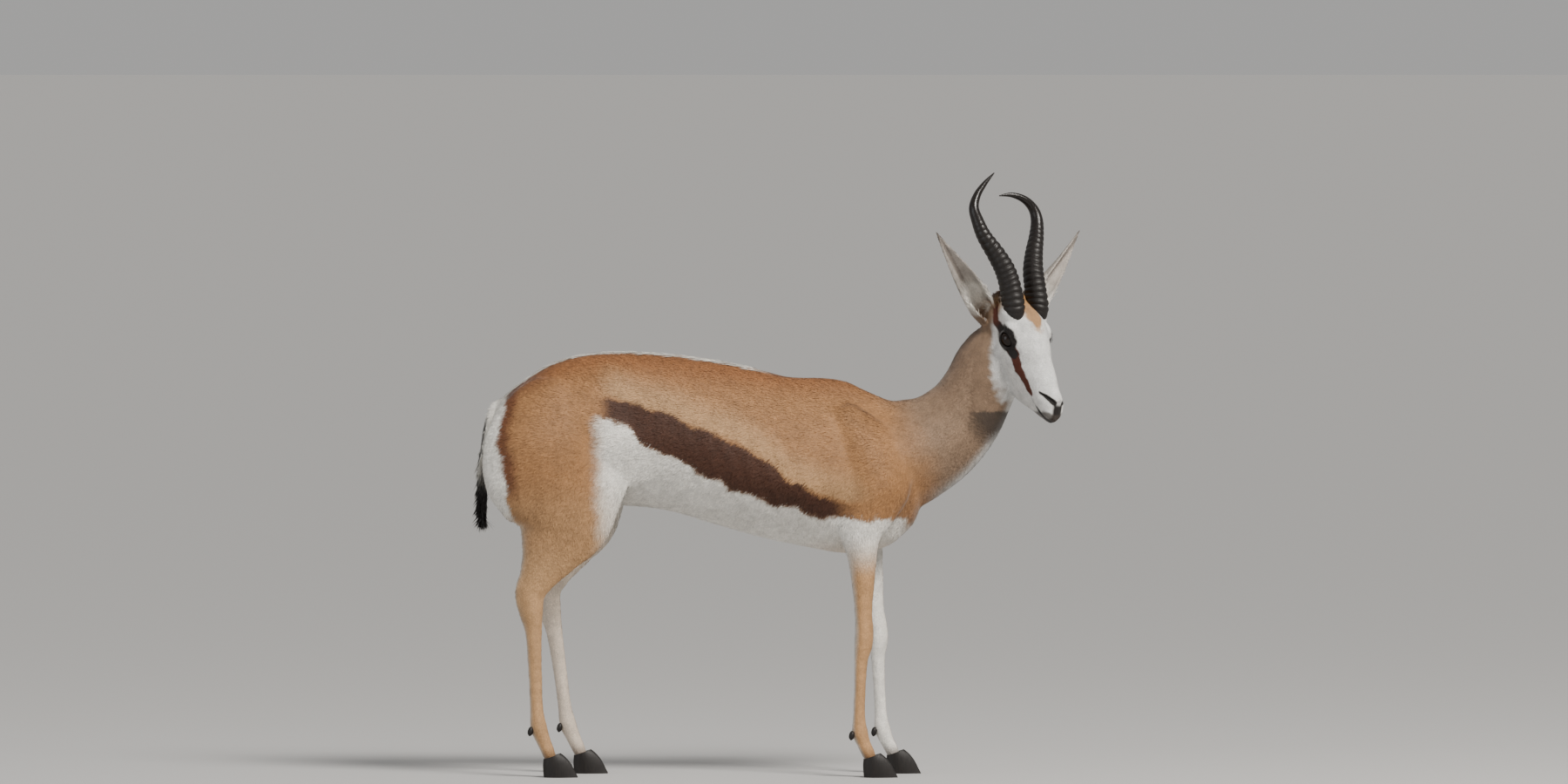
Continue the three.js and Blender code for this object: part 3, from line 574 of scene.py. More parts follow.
def markings(points, facing):
    x, y, z = points.T
    out = np.abs(y)
    edge = 7 * wander(points, 22) + 3.5 * wander(points, 8, 3.0)
    colours = np.tile(TAN, (len(points), 1))
    colours = paint(colours, BACK_TAN, 0.8 * step(90, 25, out) * step(700, 770, z))
    above_band = np.interp(x, *BAND_TOP)
    below_band = np.interp(x, *BAND_FOOT)
    on_trunk = step(-330, -285, x + edge) * step(215, 150, x + edge)
    pale = step(above_band - 4, above_band + 8, z) * step(above_band + 75, above_band + 20, z)
    colours = paint(colours, PALE_TAN, 0.7 * pale * on_trunk)
    belly = step(below_band + 4, below_band - 6, z + edge)
    colours = paint(colours, WHITE, belly * step(-345, -300, x + edge) * step(290, 250, x + edge))
    band = step(above_band + 5, above_band - 5, z + edge) * step(below_band - 6, below_band + 5, z + edge)
    colours = paint(colours, BAND, band * step(-330, -292, x) * step(172, 120, x))

    # Legs are fawn in front and outside, and white behind and inside.
    fore = step(150, 70, np.abs(x - 190)) * step(560, 500, z)
    hind = step(-270, -330, x) * step(640, 540, z)
    inside = step(0.15, -0.35, facing[:, 1] * np.sign(y))
    behind = step(0.1, -0.7, facing[:, 0])
    colours = paint(colours, LEG_TAN, np.maximum(fore, hind) * step(470, 380, z))
    behind = 0.75 * behind * step(0.9, 0.4, np.abs(facing[:, 1]))
    colours = paint(colours, WHITE, np.maximum(fore, hind) * np.maximum(inside, behind))
    colours = paint(colours, PALE_TAN, 0.45 * hind * step(600, 480, z))
    colours = paint(colours, CROWN_BROWN, 0.5 * step(60, 40, z))

    # Rump, back fold and tail
    rump_line = -516 + 0.2 * np.abs(z - 640)
    rump = step(rump_line + 6, rump_line - 5, x + 0.6 * edge) * step(470, 520, z)
    border = step(rump_line + 34, rump_line + 12, x + 0.8 * edge) * step(520, 570, z)
    colours = paint(colours, RUMP_BROWN, 0.85 * border)
    colours = paint(colours, RUMP_BROWN, 0.6 * step(-400, -470, x) * step(720, 760, z))
    colours = paint(colours, WHITE, rump)
    between = step(52, 38, out) * step(-410, -450, x)
    colours = paint(colours, WHITE, between * step(700, 660, z) * step(450, 480, z))
    fold = step(15, 9, out + 0.3 * edge) * step(20, -40, x) * step(690, 720, z)
    colours = paint(colours, WHITE, fold)
    tail = step(-530, -536, x) * step(16, 13, out) * step(735, 725, z)
    colours = paint(colours, WHITE, tail)
    ridge = 0.9 * step(-0.5, -0.8, facing[:, 0]) * step(700, 670, z)
    colours = paint(colours, BLACK, tail * (step(620, 560, z) + ridge))

    # Neck, greyer than the body, partly its own grey-brown and partly painted shade, paler in front
    neck = step(230, 330, x + 0.45 * (z - 640) + edge)
    colours = paint(colours, NECK_GREY_AND_SHADE, 0.85 * neck)
    throat = step(0.6, 0.92, 0.85 * facing[:, 0] - 0.55 * facing[:, 2])
    colours = paint(colours, FACE_WHITE, 0.75 * neck * throat)

    # Head
    local = to_head(points)
    share, off, side = ear_place(local)
    on_head = head_share(local)
    a, b, c = local.T.copy()
    b = np.abs(b)
    place = np.stack([a, b, c], 1)
    rim = 2.5 * wander(points, 9) + 1.2 * wander(points, 4, 1.0)
    jaw = np.interp(a, *JAW_LINE)
    white = step(jaw - 9, jaw + 6, c + 1.5 * rim) * step(-62, -34, a + 0.25 * c + rim)
    head = paint(colours, FACE_WHITE, white)
    # The lower cheek's white is painted darker here: painted shade under the cheek.
    head = paint(head, FACE_WHITE * 0.8, 0.5 * white * step(-10, -50, c) * step(30, 10, np.abs(a - 30)))
    head = paint(head, GINGER, 0.9 * step(-48, -62, a + rim) * step(4, 16, c + rim) * step(60, 44, b))
    patch = step(21, 14, b + 0.3 * np.clip(a + 26, 0, 99) + 1.6 * rim) * step(-0.2, 0.5, c / 40)
    head = paint(head, GINGER, 0.95 * patch * step(20, 2, a + 1.5 * rim))
    head = paint(head, CROWN_BROWN, step(-66, -84, a + rim) * step(-30, -10, c + rim) * step(36, 26, b))
    stripe_reach = np.interp(a, [10, 50, 110], [12.0, 10.0, 5.5])
    apart = segment_distance(place, STRIPE_PATH) - stripe_reach + 0.6 * rim
    head = paint(head, STRIPE, step(1.6, -1.6, apart))
    temple = segment_distance(place, TEMPLE_PATH) - 7.5 + 0.6 * rim
    head = paint(head, STRIPE, step(2, -2, temple))
    head = paint(head, BLACK, 0.85 * step(2, -2, temple) * step(-46, -30, a))
    axes = eye_axes(1)
    from_eye = (place - EYE_PLACE) @ axes.T
    ring = np.hypot(from_eye[:, 0] / 27, from_eye[:, 1] / 21)
    head = paint(head, BLACK, step(1.12, 0.94, ring + 0.03 * rim) * step(-6, 2, from_eye[:, 2]))
    tear = np.linalg.norm((place - [27, 39, -3]) / [13, 13, 9], axis=1)
    head = paint(head, BLACK, step(1.15, 0.85, tear + 0.04 * rim))
    nostril = segment_distance(place, [row[:3] for row in NOSTRIL])
    head = paint(head, BLACK, step(1.6, 0.2, nostril - np.interp(a, [116, 135, 157], [0.8, 3.2, 5.5])))
    nose_tip = step(150, 160, a + 0.4 * rim + 0.6 * np.clip(c, 0, 9)) * step(12, 5, c) * step(-27, -22, c)
    head = paint(head, BLACK, nose_tip * step(14, 8, b + 0.3 * rim))
    lip = step(131, 137, 0.82 * a - 0.57 * c + 0.5 * rim) * step(-4, -9, c)
    head = paint(head, linear(60, 52, 46), 0.85 * lip)
    lip_edge = step(-20.5, -24, c) * step(-34, -29, c) * step(132, 146, a + rim)
    head = paint(head, BLACK, 0.95 * lip_edge)
    mouth = step(-22.5, -25, c) * step(-30, -27.5, c) * step(126, 138, a)
    head = paint(head, BLACK, 0.8 * mouth)
    ear = ear_cover(local, 0.13, 0.24)
    opens = EAR_OPENS / np.linalg.norm(EAR_OPENS)
    facing_local = facing @ HEAD_TURN
    facing_local[:, 1] *= side
    within = step(0.0, 0.35, facing_local @ opens)
    outer = EAR_GREY * 0.92
    head = paint(head, outer, ear)
    head = paint(head, GINGER, 0.4 * ear * (1 - within) * step(0.24, 0.14, share))
    across = np.abs(off @ np.cross((np.array([-127, 151, 115]) / 228.0), opens))
    head = paint(head, linear(176, 168, 160), 0.9 * ear * within)
    head = paint(head, linear(96, 84, 76), 0.6 * ear * within * step(6, 2.5, across) * step(0.25, 0.4, share))
    head = paint(head, WHITE, 0.85 * ear * step(0.5, 0.3, share))
    head = paint(head, BLACK, 0.55 * ear * step(0.93, 1.0, share))
    fluff = np.linalg.norm(place - [-95, 50, -19], axis=1)
    head = paint(head, WHITE, 0.85 * step(24, 15, fluff + rim))
    colours = colours * (1 - on_head[:, None]) + head * on_head[:, None]
    tone = 1 + 0.07 * wander(points, 30, 5.0) + 0.05 * wander(points, 9, 7.0)
    return np.clip(colours * tone[:, None], 0.002, 0.95)


def set_colours(mesh, colours):
    layer = mesh.color_attributes.new("coat", "FLOAT_COLOR", "POINT")
    flat = np.ones((len(mesh.vertices), 4), np.float32)
    flat[:, :3] = colours
    layer.data.foreach_set("color", flat.ravel())


def set_inputs(node, **values):
    for label, value in values.items():
        node.inputs[label.replace("_", " ")].default_value = value


def add_node(nodes, kind, operation=None, **values):
    node = nodes.new("ShaderNode" + kind)
    if operation:
        node.operation = operation
    set_inputs(node, **values)
    return node


# Hair seen close: a fine streaked relief, used by the hide and by every tuft.
def hair_relief():
    group = bpy.data.node_groups.new("hair relief", "ShaderNodeTree")
    for label, way, kind in (("Colour", "INPUT", "NodeSocketColor"), ("Size", "INPUT", "NodeSocketFloat"),
                             ("Depth", "INPUT", "NodeSocketFloat"), ("Colour", "OUTPUT", "NodeSocketColor"),
                             ("Normal", "OUTPUT", "NodeSocketVector")):
        group.interface.new_socket(label, in_out=way, socket_type=kind)
    nodes, links = group.nodes, group.links
    given, out = nodes.new("NodeGroupInput"), nodes.new("NodeGroupOutput")
    where = add_node(nodes, "TexCoord")
    stretch = add_node(nodes, "Mapping", Scale=(0.22, 1.0, 0.55))
    streaks = add_node(nodes, "TexNoise", Detail=4.0)
    clumps = add_node(nodes, "TexNoise", Scale=70.0)
    tint = add_node(nodes, "MapRange", From_Min=0.3, From_Max=0.7, To_Min=0.74, To_Max=1.14)
    clump_tint = add_node(nodes, "MapRange", From_Min=0.3, From_Max=0.7, To_Min=0.88, To_Max=1.08)
    both = add_node(nodes, "Math", "MULTIPLY")
    coloured = add_node(nodes, "VectorMath", "SCALE")
    bump = add_node(nodes, "Bump", Distance=0.0012)
    links.new(where.outputs["Object"], stretch.inputs["Vector"])
    links.new(stretch.outputs["Vector"], streaks.inputs["Vector"])
    links.new(where.outputs["Object"], clumps.inputs["Vector"])
    links.new(given.outputs["Size"], streaks.inputs["Scale"])
    links.new(streaks.outputs["Fac"], tint.inputs["Value"])
    links.new(clumps.outputs["Fac"], clump_tint.inputs["Value"])
    links.new(tint.outputs["Result"], both.inputs[0])
    links.new(clump_tint.outputs["Result"], both.inputs[1])
    links.new(given.outputs["Colour"], coloured.inputs[0])
    links.new(both.outputs[0], coloured.inputs["Scale"])
    links.new(streaks.outputs["Fac"], bump.inputs["Height"])
    links.new(given.outputs["Depth"], bump.inputs["Strength"])
    links.new(coloured.outputs["Vector"], out.inputs["Colour"])
    links.new(bump.outputs["Normal"], out.inputs["Normal"])
    return group


HAIR_RELIEF = hair_relief()


def hair_material(name, size, depth, roughness, sheen):
    made = bpy.data.materials.new(name)
    made.use_nodes = True
    nodes, links = made.node_tree.nodes, made.node_tree.links
    shader = nodes["Principled BSDF"]
    set_inputs(shader, Roughness=roughness, Specular_IOR_Level=0.3, Sheen_Weight=sheen, Sheen_Roughness=0.4)
    colour = add_node(nodes, "Attribute")
    colour.attribute_name = "coat"
    relief = add_node(nodes, "Group")
    relief.node_tree = HAIR_RELIEF
    set_inputs(relief, Size=size, Depth=depth)
    links.new(colour.outputs["Color"], relief.inputs["Colour"])
    links.new(relief.outputs["Colour"], shader.inputs["Base Color"])
    links.new(relief.outputs["Normal"], shader.inputs["Normal"])
    return made


skin_points = to_millimetres(points_of(skin.data))
skin_facing = normals_of(skin.data)
set_colours(skin.data, markings(skin_points, skin_facing))
flesh = ["torso", "neck", "head", "tail", "ear_right", "ear_left"]
flesh += [f"{leg}_{part}" for leg in FOOT_AHEAD for part in ("upper", "lower")]
skin.data.materials.clear()
finish_piece(skin, hair_material("hide", 900, 0.7, 0.75, 0.15), *flesh, slot="coat")


# Lie of the coat
# Hair runs back from the nose over the crown, down the neck, back along the trunk and down the legs.
def lie_of_coat(points, facing):
    x, y, z = points.T
    local = to_head(points)
    on_head = head_share(local)[:, None]
    side = ear_place(local)[2]
    on_ear = ear_cover(local, 0.14, 0.26)[:, None]
    drop = step(760, 480, z)
    way = np.stack([-1 + 0.45 * drop, 0 * x, -0.12 - 0.7 * drop], 1)
    neck = step(210, 300, x + 0.4 * (z - 640))[:, None]
    way = way * (1 - neck) + np.array([-0.62, 0.05, -0.78]) * neck
    leg = step(520, 430, z)[:, None]
    way = way * (1 - leg) + np.array([-0.12, 0, -1.0]) * leg
    tail = (step(-530, -536, x) * step(18, 14, np.abs(y)))[:, None]
    way = way * (1 - tail) + np.array([-0.1, 0, -1.0]) * tail
    back = np.array([-1.0, 0, 0.12]) @ HEAD_TURN.T
    head_way = np.tile(back, (len(points), 1)) + np.outer(np.sign(local[:, 1]) * 0.25, LEFT_WAY)
    root, tip = ear_line(1)
    ear_local = np.tile((tip - root) / np.linalg.norm(tip - root), (len(points), 1))
    ear_local[:, 1] *= side
    head_way = head_way * (1 - on_ear) + (ear_local @ HEAD_TURN.T) * on_ear
    way = way * (1 - on_head) + head_way * on_head
    way = way - facing * np.sum(way * facing, axis=1)[:, None]
    return way / np.maximum(np.linalg.norm(way, axis=1)[:, None], 1e-6)


# Tufts
# The coat breaks the form in small flat locks. Each is a thin blade with its root in the hide, bent to
# lie along the body, and coloured where it grows.
skin_mesh = skin.data
skin_mesh.calc_loop_triangles()
corner_verts = values_of(skin_mesh.loop_triangles, "vertices", 3, np.int32)
corner_loops = values_of(skin_mesh.loop_triangles, "loops", 3, np.int32)
skin_uv = values_of(skin_mesh.uv_layers["OFBake"].data, "uv", 2)
corner_points = skin_points[corner_verts]
face_area = np.linalg.norm(np.cross(corner_points[:, 1] - corner_points[:, 0],
                                    corner_points[:, 2] - corner_points[:, 0]), axis=1) / 2
face_middle = corner_points.mean(axis=1)
face_facing = skin_facing[corner_verts].mean(axis=1)
BAKE_PATCH = 0.003
TUFT_MATERIAL = hair_material("tufts", 1500, 0.35, 0.62, 0.25)


def grow_tufts(name, weight, spacing, length, width, lift, seed, limit=66000):
    rng = np.random.default_rng(seed)
    chance = face_area * np.clip(weight, 0, 1)
    count = int(min(limit, chance.sum() / spacing**2))
    if count < 10:
        return None
    picked = rng.choice(len(chance), count, p=chance / chance.sum())
    u, v = rng.random(count), rng.random(count)
    flip = u + v > 1
    u[flip], v[flip] = 1 - u[flip], 1 - v[flip]
    mix = np.stack([1 - u - v, u, v], 1)[:, :, None]
    root = (corner_points[picked] * mix).sum(1)
    facing = (skin_facing[corner_verts[picked]] * mix).sum(1)
    facing /= np.maximum(np.linalg.norm(facing, axis=1)[:, None], 1e-6)
    bake = (skin_uv[corner_loops[picked]] * mix).sum(1)
    way = lie_of_coat(root, facing)
    across = np.cross(facing, way)
    turn = rng.normal(0, 0.2, count)[:, None]
    way, across = way * np.cos(turn) + across * np.sin(turn), across * np.cos(turn) - way * np.sin(turn)
    long = (length(root) if callable(length) else length) * rng.uniform(0.7, 1.25, count)
    wide = (width(root) if callable(width) else width) * rng.uniform(0.75, 1.25, count)
    rise = lift * rng.uniform(0.5, 1.5, count)
    long, wide, rise = long[:, None], wide[:, None], rise[:, None]
    blades = np.stack([
        root - facing * 0.5 - across * wide * 0.42, root - facing * 0.5 + across * wide * 0.42,
        root + way * long * 0.5 + facing * long * rise * 0.75 - across * wide * 0.5,
        root + way * long * 0.5 + facing * long * rise * 0.75 + across * wide * 0.5,
        root + way * long + facing * long * rise * 0.8,
    ], 1)
    colour = markings(root, facing)
    tone = rng.normal(1.0, 0.07, count)[:, None]
    tones = np.stack([colour * tone * 0.88, colour * tone * 0.88, colour * tone, colour * tone,
                      np.clip(colour * tone * 1.1, 0, 0.95)], 1)
    mesh = bpy.data.meshes.new(name)
    verts = to_metres(blades.reshape(-1, 3)).astype(np.float32)
    faces = np.array([[0, 1, 3], [0, 3, 2], [2, 3, 4]])[None] + (np.arange(count) * 5)[:, None, None]
    loops = faces.reshape(-1).astype(np.int32)
    mesh.vertices.add(len(verts))
    mesh.vertices.foreach_set("co", verts.ravel())
    mesh.loops.add(len(loops))
    mesh.loops.foreach_set("vertex_index", loops)
    mesh.polygons.add(len(loops) // 3)
    mesh.polygons.foreach_set("loop_start", np.arange(0, len(loops), 3, dtype=np.int32))
    mesh.update(calc_edges=True)
    patch = np.array([[-0.5, 0], [0.5, 0], [-0.5, 0.5], [0.5, 0.5], [0, 1]]) * BAKE_PATCH
    spread = (bake[:, None, :] + patch[None]).reshape(-1, 2)
    layer = mesh.uv_layers.new(name="OFBake")
    layer.data.foreach_set("uv", spread[loops].astype(np.float32).ravel())
    set_colours(mesh, tones.reshape(-1, 3))
    piece = bpy.data.objects.new(name, mesh)
    return finish_piece(piece, TUFT_MATERIAL, slot="coat")


middle_head = to_head(face_middle)
head_part = head_share(middle_head)
ear_part = ear_cover(middle_head, 0.16, 0.24)
ear_share = ear_place(middle_head)[0]
mid_x, mid_y, mid_z = face_middle.T
neck_part = step(215, 260, mid_x + 0.4 * (mid_z - 640)) * (1 - head_part)
leg_part = step(500, 440, mid_z) * (1 - neck_part) * (1 - head_part)
tail_part = step(-530, -536, mid_x) * step(18, 14, np.abs(mid_y))
trunk_part = (1 - neck_part) * (1 - head_part) * (1 - leg_part) * (1 - tail_part)
upper_part = trunk_part * step(644, 656, mid_z)
lower_part = trunk_part - upper_part
grow_tufts("coat_back", upper_part, 2.2, 9.5, 1.9, 0.075, 11)
grow_tufts("coat_flank", lower_part, 2.2, 9.5, 1.9, 0.075, 12)
grow_tufts("coat_back_over", upper_part, 2.9, 11, 1.5, 0.12, 13, limit=50000)
grow_tufts("coat_flank_over", lower_part, 2.9, 11, 1.5, 0.12, 14, limit=50000)
grow_tufts("coat_neck", neck_part, 1.7, 9.0, 1.7, 0.1, 15)
from_eyes = np.minimum(*(np.linalg.norm(middle_head - EYE_PLACE * [1, s, 1], axis=1) for s in (-1, 1)))
nose_pad = step(156, 162, middle_head[:, 0]) * step(-30, -22, middle_head[:, 2])
bare = step(19.5, 22, from_eyes) * (1 - nose_pad)
grow_tufts("coat_head", (head_part - ear_part) * bare, 1.0,
           lambda p: np.interp(to_head(p)[:, 0], [-90, -20, 60, 150], [6.5, 4.4, 3.6, 2.2]),
           lambda p: np.interp(to_head(p)[:, 0], [-90, 60, 150], [1.2, 0.9, 0.6]), 0.1, 16)
grow_tufts("coat_ears", ear_part, 1.2, 5.0, 1.0, 0.07, 17)
grow_tufts("coat_legs", leg_part, 1.6, lambda p: np.interp(p[:, 2], [40, 300, 500], [4, 5.5, 9]),
           lambda p: np.interp(p[:, 2], [40, 300, 500], [1.0, 1.3, 1.8]), 0.08, 18)

# Back fold
# Long white hair lies closed in a fold along the middle of the back, from the loins to the tail.
fold_part = trunk_part * step(14, 8, np.abs(mid_y)) * step(10, -60, mid_x) * step(-505, -480, mid_x)
fold_part *= step(0.3, 0.7, face_facing[:, 2] - 0.6 * face_facing[:, 0])
grow_tufts("back_fold", fold_part, 1.5, 26, 2.6, 0.05, 19, limit=9000)

# Long hair
# The tail ends in a black tuft, white fluff fills the base of each ear, and a dark brown brush stands
# between ears and horns.
tail_end = tail_part * step(640, 600, mid_z)
grow_tufts("tail_tuft", tail_end, 0.75, 30, 2.4, 0.04, 20, limit=9000)
grow_tufts("tail_hair", tail_part * step(716, 700, mid_z), 1.3, 11, 1.6, 0.05, 21, limit=9000)
opens = EAR_OPENS / np.linalg.norm(EAR_OPENS)
ear_sides = np.where(middle_head[:, 1] < 0, -1.0, 1.0)
inward = face_facing @ HEAD_TURN
inward[:, 1] *= ear_sides
ear_inside = ear_part * step(0.1, 0.5, inward @ opens)
grow_tufts("ear_fluff", ear_inside * step(0.45, 0.28, ear_share), 1.3, 13, 1.3, 0.16, 22, limit=9000)
crown = step(-62, -74, middle_head[:, 0]) * step(-34, -14, middle_head[:, 2])
crown *= step(44, 34, np.abs(middle_head[:, 1]))
grow_tufts("crown_brush", crown * head_part * (1 - ear_part), 1.3, 17, 1.8, 0.3, 23, limit=6000)

# Eyes
# Large dark wet balls, nearly black all over, sunk between black lids. The upper lid has a row of
# stiff black lashes.


def plain_material(name, colour, roughness, shine=0.5):
    made = bpy.data.materials.new(name)
    made.use_nodes = True
    set_inputs(made.node_tree.nodes["Principled BSDF"], Base_Color=(*colour, 1), Roughness=roughness,
               Specular_IOR_Level=shine)
    return made


def eye_material():
    made = plain_material("eye", (0.012, 0.007, 0.004), 0.06, 0.32)
    nodes, links = made.node_tree.nodes, made.node_tree.links
    shader = nodes["Principled BSDF"]
    where = add_node(nodes, "TexCoord")
    noise = add_node(nodes, "TexNoise", Scale=260, Detail=6)
    ramp = add_node(nodes, "ValToRGB")
    ramp.color_ramp.elements[0].color = (0.002, 0.0015, 0.001, 1)
    ramp.color_ramp.elements[1].color = (0.014, 0.006, 0.003, 1)
    links.new(where.outputs["Object"], noise.inputs["Vector"])
    links.new(noise.outputs["Fac"], ramp.inputs["Fac"])
    links.new(ramp.outputs["Color"], shader.inputs["Base Color"])
    return made


EYE_MATERIAL = eye_material()
LID_MATERIAL = plain_material("lid", (0.004, 0.003, 0.003), 0.75, 0.2)
LID_EDGE = 1.2
LASH_COUNT, LASH_LENGTH = 34, 9.0
for side_name, eye_side in (("right", -1), ("left", 1)):
    ball = bmesh.new()
    add_oval(ball, EYE_PLACE, [EYE_RADIUS] * 3, eye_side, rings=40)
    new_piece(f"eyeball_{side_name}", ball, EYE_MATERIAL, f"eye_{side_name}", slot="eye")
    axes = eye_axes(eye_side)
    rows = []
    for angle in np.linspace(0, 2 * math.pi, 49):
        flat = np.array([math.cos(angle) * 15.6, math.sin(angle) * 10.4])
        depth = math.sqrt(max((EYE_RADIUS + 0.3) ** 2 - flat @ flat, 0))
        spot = EYE_PLACE * [1, eye_side, 1] + axes[0] * flat[0] + axes[1] * flat[1] + axes[2] * depth
        rows.append([*spot, *[LID_EDGE] * 5])
    rim_shape = bmesh.new()
    add_sections(rim_shape, rows, axes[2], 12, 96, place=from_head)
    new_piece(f"lids_{side_name}", rim_shape, LID_MATERIAL, slot="face")
    crownward = axes[1] * (1 if axes[1][2] > 0 else -1)
    lashes = bmesh.new()
    rng = np.random.default_rng(31)
    for k in range(LASH_COUNT):
        angle = math.radians(18 + 144 * k / (LASH_COUNT - 1))
        flat = [math.cos(angle) * 16, math.sin(angle) * 10.8]
        root = (EYE_PLACE * [1, eye_side, 1] + axes[0] * flat[0] + crownward * flat[1]
                + axes[2] * math.sqrt(EYE_RADIUS**2 - flat[0] ** 2 - flat[1] ** 2))
        way = axes[2] * 0.8 + crownward * 0.45 + axes[0] * 0.5 * math.cos(angle)
        reach = LASH_LENGTH * rng.uniform(0.75, 1.1) * (0.6 + 0.4 * math.sin(angle))
        rows = []
        for share in (0, 0.33, 0.66, 1):
            thick = 0.5 - 0.32 * share
            spot = root + way * reach * share - crownward * 0.35 * reach * share**2
            rows.append([*spot, *[thick] * 5])
        add_sections(lashes, rows, axes[0] + crownward, 4, 5, place=from_head)
    new_piece(f"lashes_{side_name}", lashes, LID_MATERIAL, slot="face")

# Horns
# Black horn with rings round its lower part and a smooth, glossy hooked tip. Each is one closed tube of
# rounded sections along a curve, with the rings raised in its own surface.


def horn_material():
    made = plain_material("horn", (0.006, 0.005, 0.005), 0.4, 0.35)
    nodes, links = made.node_tree.nodes, made.node_tree.links
    shader = nodes["Principled BSDF"]
    where = add_node(nodes, "TexCoord")
    fine = add_node(nodes, "TexNoise", Scale=420, Detail=5)
    stretch = add_node(nodes, "Mapping", Scale=(1.0, 1.0, 0.12))
    ramp = add_node(nodes, "ValToRGB")
    ramp.color_ramp.elements[0].color = (0.003, 0.0025, 0.0025, 1)
    ramp.color_ramp.elements[1].color = (0.016, 0.012, 0.010, 1)
    rough = add_node(nodes, "MapRange", From_Min=0.98, From_Max=1.1, To_Min=0.5, To_Max=0.22)
    apart = add_node(nodes, "SeparateXYZ")
    bump = add_node(nodes, "Bump", Distance=0.0006, Strength=0.6)
    links.new(where.outputs["Object"], stretch.inputs["Vector"])
    links.new(stretch.outputs["Vector"], fine.inputs["Vector"])
    links.new(where.outputs["Object"], apart.inputs["Vector"])
    links.new(apart.outputs["Z"], rough.inputs["Value"])
    links.new(rough.outputs["Result"], shader.inputs["Roughness"])
    links.new(fine.outputs["Fac"], ramp.inputs["Fac"])
    links.new(ramp.outputs["Color"], shader.inputs["Base Color"])
    links.new(fine.outputs["Fac"], bump.inputs["Height"])
    links.new(bump.outputs["Normal"], shader.inputs["Normal"])
    return made


HORN_ROOT = [  # towards the nose, out, up, half depth, half width
    [-20, 28, -4, 12, 11], [-34, 29, 17, 20, 17.5], [-50, 30, 37, 24, 20], [-83, 31, 53, 23, 19],
    [-118, 35, 65, 21.5, 18], [-152, 48, 74, 19, 16], [-187, 66, 83, 15.5, 13.5],
    [-216, 75, 93, 13, 11.5],
]
HORN_TIPS = {
    "right": [[-240, 79, 103, 10.5, 9.5], [-262, 67, 114, 8, 7.5],
              [-281, 46, 126, 5.2, 5], [-296, 24, 138, 1.4, 1.4]],
    "left": [[-238, 71, 101, 10.5, 9.5], [-256, 54, 106, 8, 7.5],
             [-268, 30, 104, 5.2, 5], [-272, 6, 96, 1.4, 1.4]],
}
RING_COUNT, RING_FIRST, RING_LAST, RING_HEIGHT = 17, 0.17, 0.63, 2.0
HORN_MATERIAL = horn_material()
for side_name, side in (("right", -1), ("left", 1)):
    rows = HORN_ROOT + HORN_TIPS[side_name]
    places = np.linspace(0, 1, 420)
    values = along_rows(rows, places * (len(rows) - 1))
    values[:, 1] *= side
    along = np.gradient(values[:, :3], axis=0)
    along /= np.linalg.norm(along, axis=1)[:, None]
    across = np.array([0.0, side, 0.0]) - along * along[:, 1:2] * side
    across /= np.linalg.norm(across, axis=1)[:, None]
    fore = np.cross(across, along) * side
    angle = (np.arange(56) / 56 * 2 * np.pi)[None, :]
    phase = (places - RING_FIRST) / (RING_LAST - RING_FIRST) * RING_COUNT
    phase = phase[:, None] + 0.16 * np.sin(angle + 0.4) + 0.1 * np.sin(2 * angle + phase[:, None])
    fade = step(-0.6, 1.0, phase) * step(RING_COUNT + 1.5, RING_COUNT - 5.0, phase)
    ridge = np.abs(np.sin(np.pi * phase)) ** 0.55
    height = RING_HEIGHT * (1.0 - 0.5 * phase / RING_COUNT) * (0.8 + 0.2 * np.cos(angle))
    rise = fade * height * (1.7 * ridge - 1.0) - 0.3
    rings = (values[:, None, :3] + fore[:, None, :] * (np.cos(angle) * (values[:, 3:4] + rise))[:, :, None]
             + across[:, None, :] * (np.sin(angle) * (values[:, 4:5] + rise))[:, :, None])
    horn_shape = bmesh.new()
    add_rings(horn_shape, to_metres(from_head(rings.reshape(-1, 3))).reshape(rings.shape))
    new_piece(f"horn_sheath_{side_name}", horn_shape, HORN_MATERIAL, f"horn_{side_name}", slot="horn")

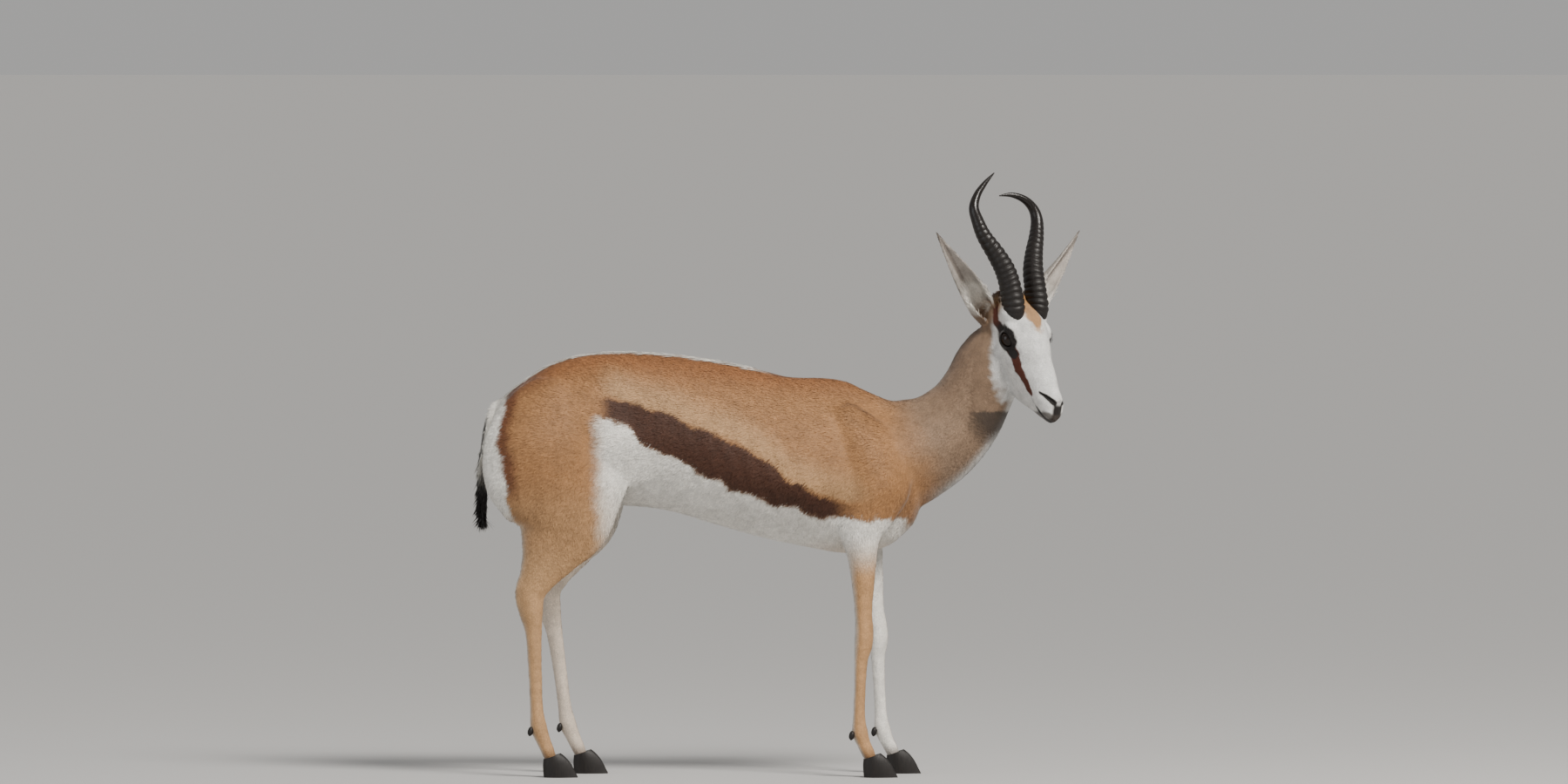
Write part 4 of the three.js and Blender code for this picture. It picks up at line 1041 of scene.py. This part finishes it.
# Hooves
# Two black claws to a foot, each a sheath of horn with a flat sole, and two small dew claws behind and
# above them.
HOOF_MATERIAL = horn_material()
HOOF_MATERIAL.name = "hoof"
HOOF_WIDTH, HOOF_GAP = 21, 2.4
CLAW = [  # height, ahead of the foot's middle, reach to the toe and to the heel, half widths
    [-14, 11, 40, 27, 7, 10.6, 9.2], [0, 8, 36, 26, 7.2, 10.6, 9.4], [14, 5, 32, 25, 7.4, 10.6, 9.6],
    [28, 1, 26, 22, 7.6, 10.2, 9.4], [40, -3, 18, 17, 7.2, 9.2, 8.4],
]
DEW_CLAW = [[9, 0.6], [6, 3.6], [1, 5.2], [-5, 4.6], [-9, 0.8]]  # height and radius
for leg_name in FOOT_AHEAD:
    side = -1 if leg_name.endswith("right") else 1
    rows = leg_rows(leg_name)
    foot_x, foot_y = rows[-1][0] + 4, rows[-1][1]
    for claw_name, apart in (("outer", 1), ("inner", -1)):
        shift = apart * (HOOF_WIDTH + HOOF_GAP) / 2
        claw = [[foot_x + x, foot_y + shift, z, toe - 0.2, heel - 0.2, *widths]
                for z, x, toe, heel, *widths in CLAW]
        claw_shape = bmesh.new()
        add_sections(claw_shape, claw, AHEAD, 48, 30, -0.1, side=side)
        whole = [*claw_shape.verts, *claw_shape.edges, *claw_shape.faces]
        cut = bmesh.ops.bisect_plane(claw_shape, geom=whole, plane_co=(0, 0, 0), plane_no=UP,
                                     clear_inner=True)["geom_cut"]
        rim = [item for item in cut if isinstance(item, bmesh.types.BMEdge)]
        bmesh.ops.edgeloop_fill(claw_shape, edges=rim)
        sheath = new_piece(f"{leg_name}_claw_{claw_name}", claw_shape, HOOF_MATERIAL,
                           f"{leg_name}_hoof_{claw_name}", slot="hoof")
        sheath.data.set_sharp_from_angle(angle=math.radians(50))
    dew_shape = bmesh.new()
    dew_x, dew_y, dew_z = rows[-4][0] - 15, rows[-4][1], rows[-4][2] - 8
    for apart in (-8.5, 8.5):
        dew = [[dew_x - 0.2 * (9 - z), dew_y + apart, dew_z + z, *[radius] * 5] for z, radius in DEW_CLAW]
        add_sections(dew_shape, dew, AHEAD, 20, 16, side=side)
    new_piece(f"{leg_name}_dew_claws", dew_shape, HOOF_MATERIAL, slot="hoof")

# Floor, light and camera
# A plain pale floor, soft light from above and from the camera's right, and a long lens level with
# the back.
floor_shape = bmesh.new()
bmesh.ops.create_grid(floor_shape, x_segments=1, y_segments=1, size=1500)
floor_mesh = bpy.data.meshes.new("floor")
floor_shape.to_mesh(floor_mesh)
floor_shape.free()
floor = bpy.data.objects.new("floor", floor_mesh)
bpy.context.scene.collection.objects.link(floor)
floor_mesh.materials.append(plain_material("pale floor", (0.485, 0.478, 0.47), 0.9))

CAMERA_TARGET = Vector(to_metres([27.5, 0, 734]))
CAMERA_DISTANCE = 24.0
CAMERA_RISE = math.radians(1.5)
FRAME_WIDTH = 3.0
camera_data = bpy.data.cameras.new("camera")
camera_data.sensor_width = 36
camera_data.lens = camera_data.sensor_width * CAMERA_DISTANCE / FRAME_WIDTH
camera_data.clip_end = 4000
camera = bpy.data.objects.new("camera", camera_data)
bpy.context.scene.collection.objects.link(camera)
away = Vector((0, -math.cos(CAMERA_RISE), math.sin(CAMERA_RISE))) * CAMERA_DISTANCE
camera.location = CAMERA_TARGET + away
camera.rotation_euler = (-away).to_track_quat("-Z", "Y").to_euler()
bpy.context.scene.camera = camera


def area_light(name, place, power, size, colour=(1, 1, 1)):
    lamp = bpy.data.lights.new(name, "AREA")
    lamp.energy, lamp.size, lamp.color = power, size, colour
    holder = bpy.data.objects.new(name, lamp)
    holder.location = place
    holder.rotation_euler = (Vector((0, 0, 0.6)) - Vector(place)).to_track_quat("-Z", "Y").to_euler()
    bpy.context.scene.collection.objects.link(holder)


area_light("key", (2.4, -3.0, 4.0), 210, 1.6, (1.0, 0.96, 0.9))
area_light("fill", (-3.5, -3.5, 1.8), 55, 3.0, (0.9, 0.95, 1.0))
sun = bpy.data.lights.new("sun", "SUN")
sun.energy, sun.angle, sun.color = 2.2, math.radians(18), (1.0, 0.97, 0.92)
sun_holder = bpy.data.objects.new("sun", sun)
sun_holder.rotation_euler = Vector((0.55, -0.75, 1.0)).to_track_quat("Z", "Y").to_euler()
bpy.context.scene.collection.objects.link(sun_holder)
world = bpy.data.worlds.new("world")
world.use_nodes = True
world.node_tree.nodes["Background"].inputs["Color"].default_value = (0.91, 0.9, 0.885, 1)
world.node_tree.nodes["Background"].inputs["Strength"].default_value = 0.45
bpy.context.scene.world = world
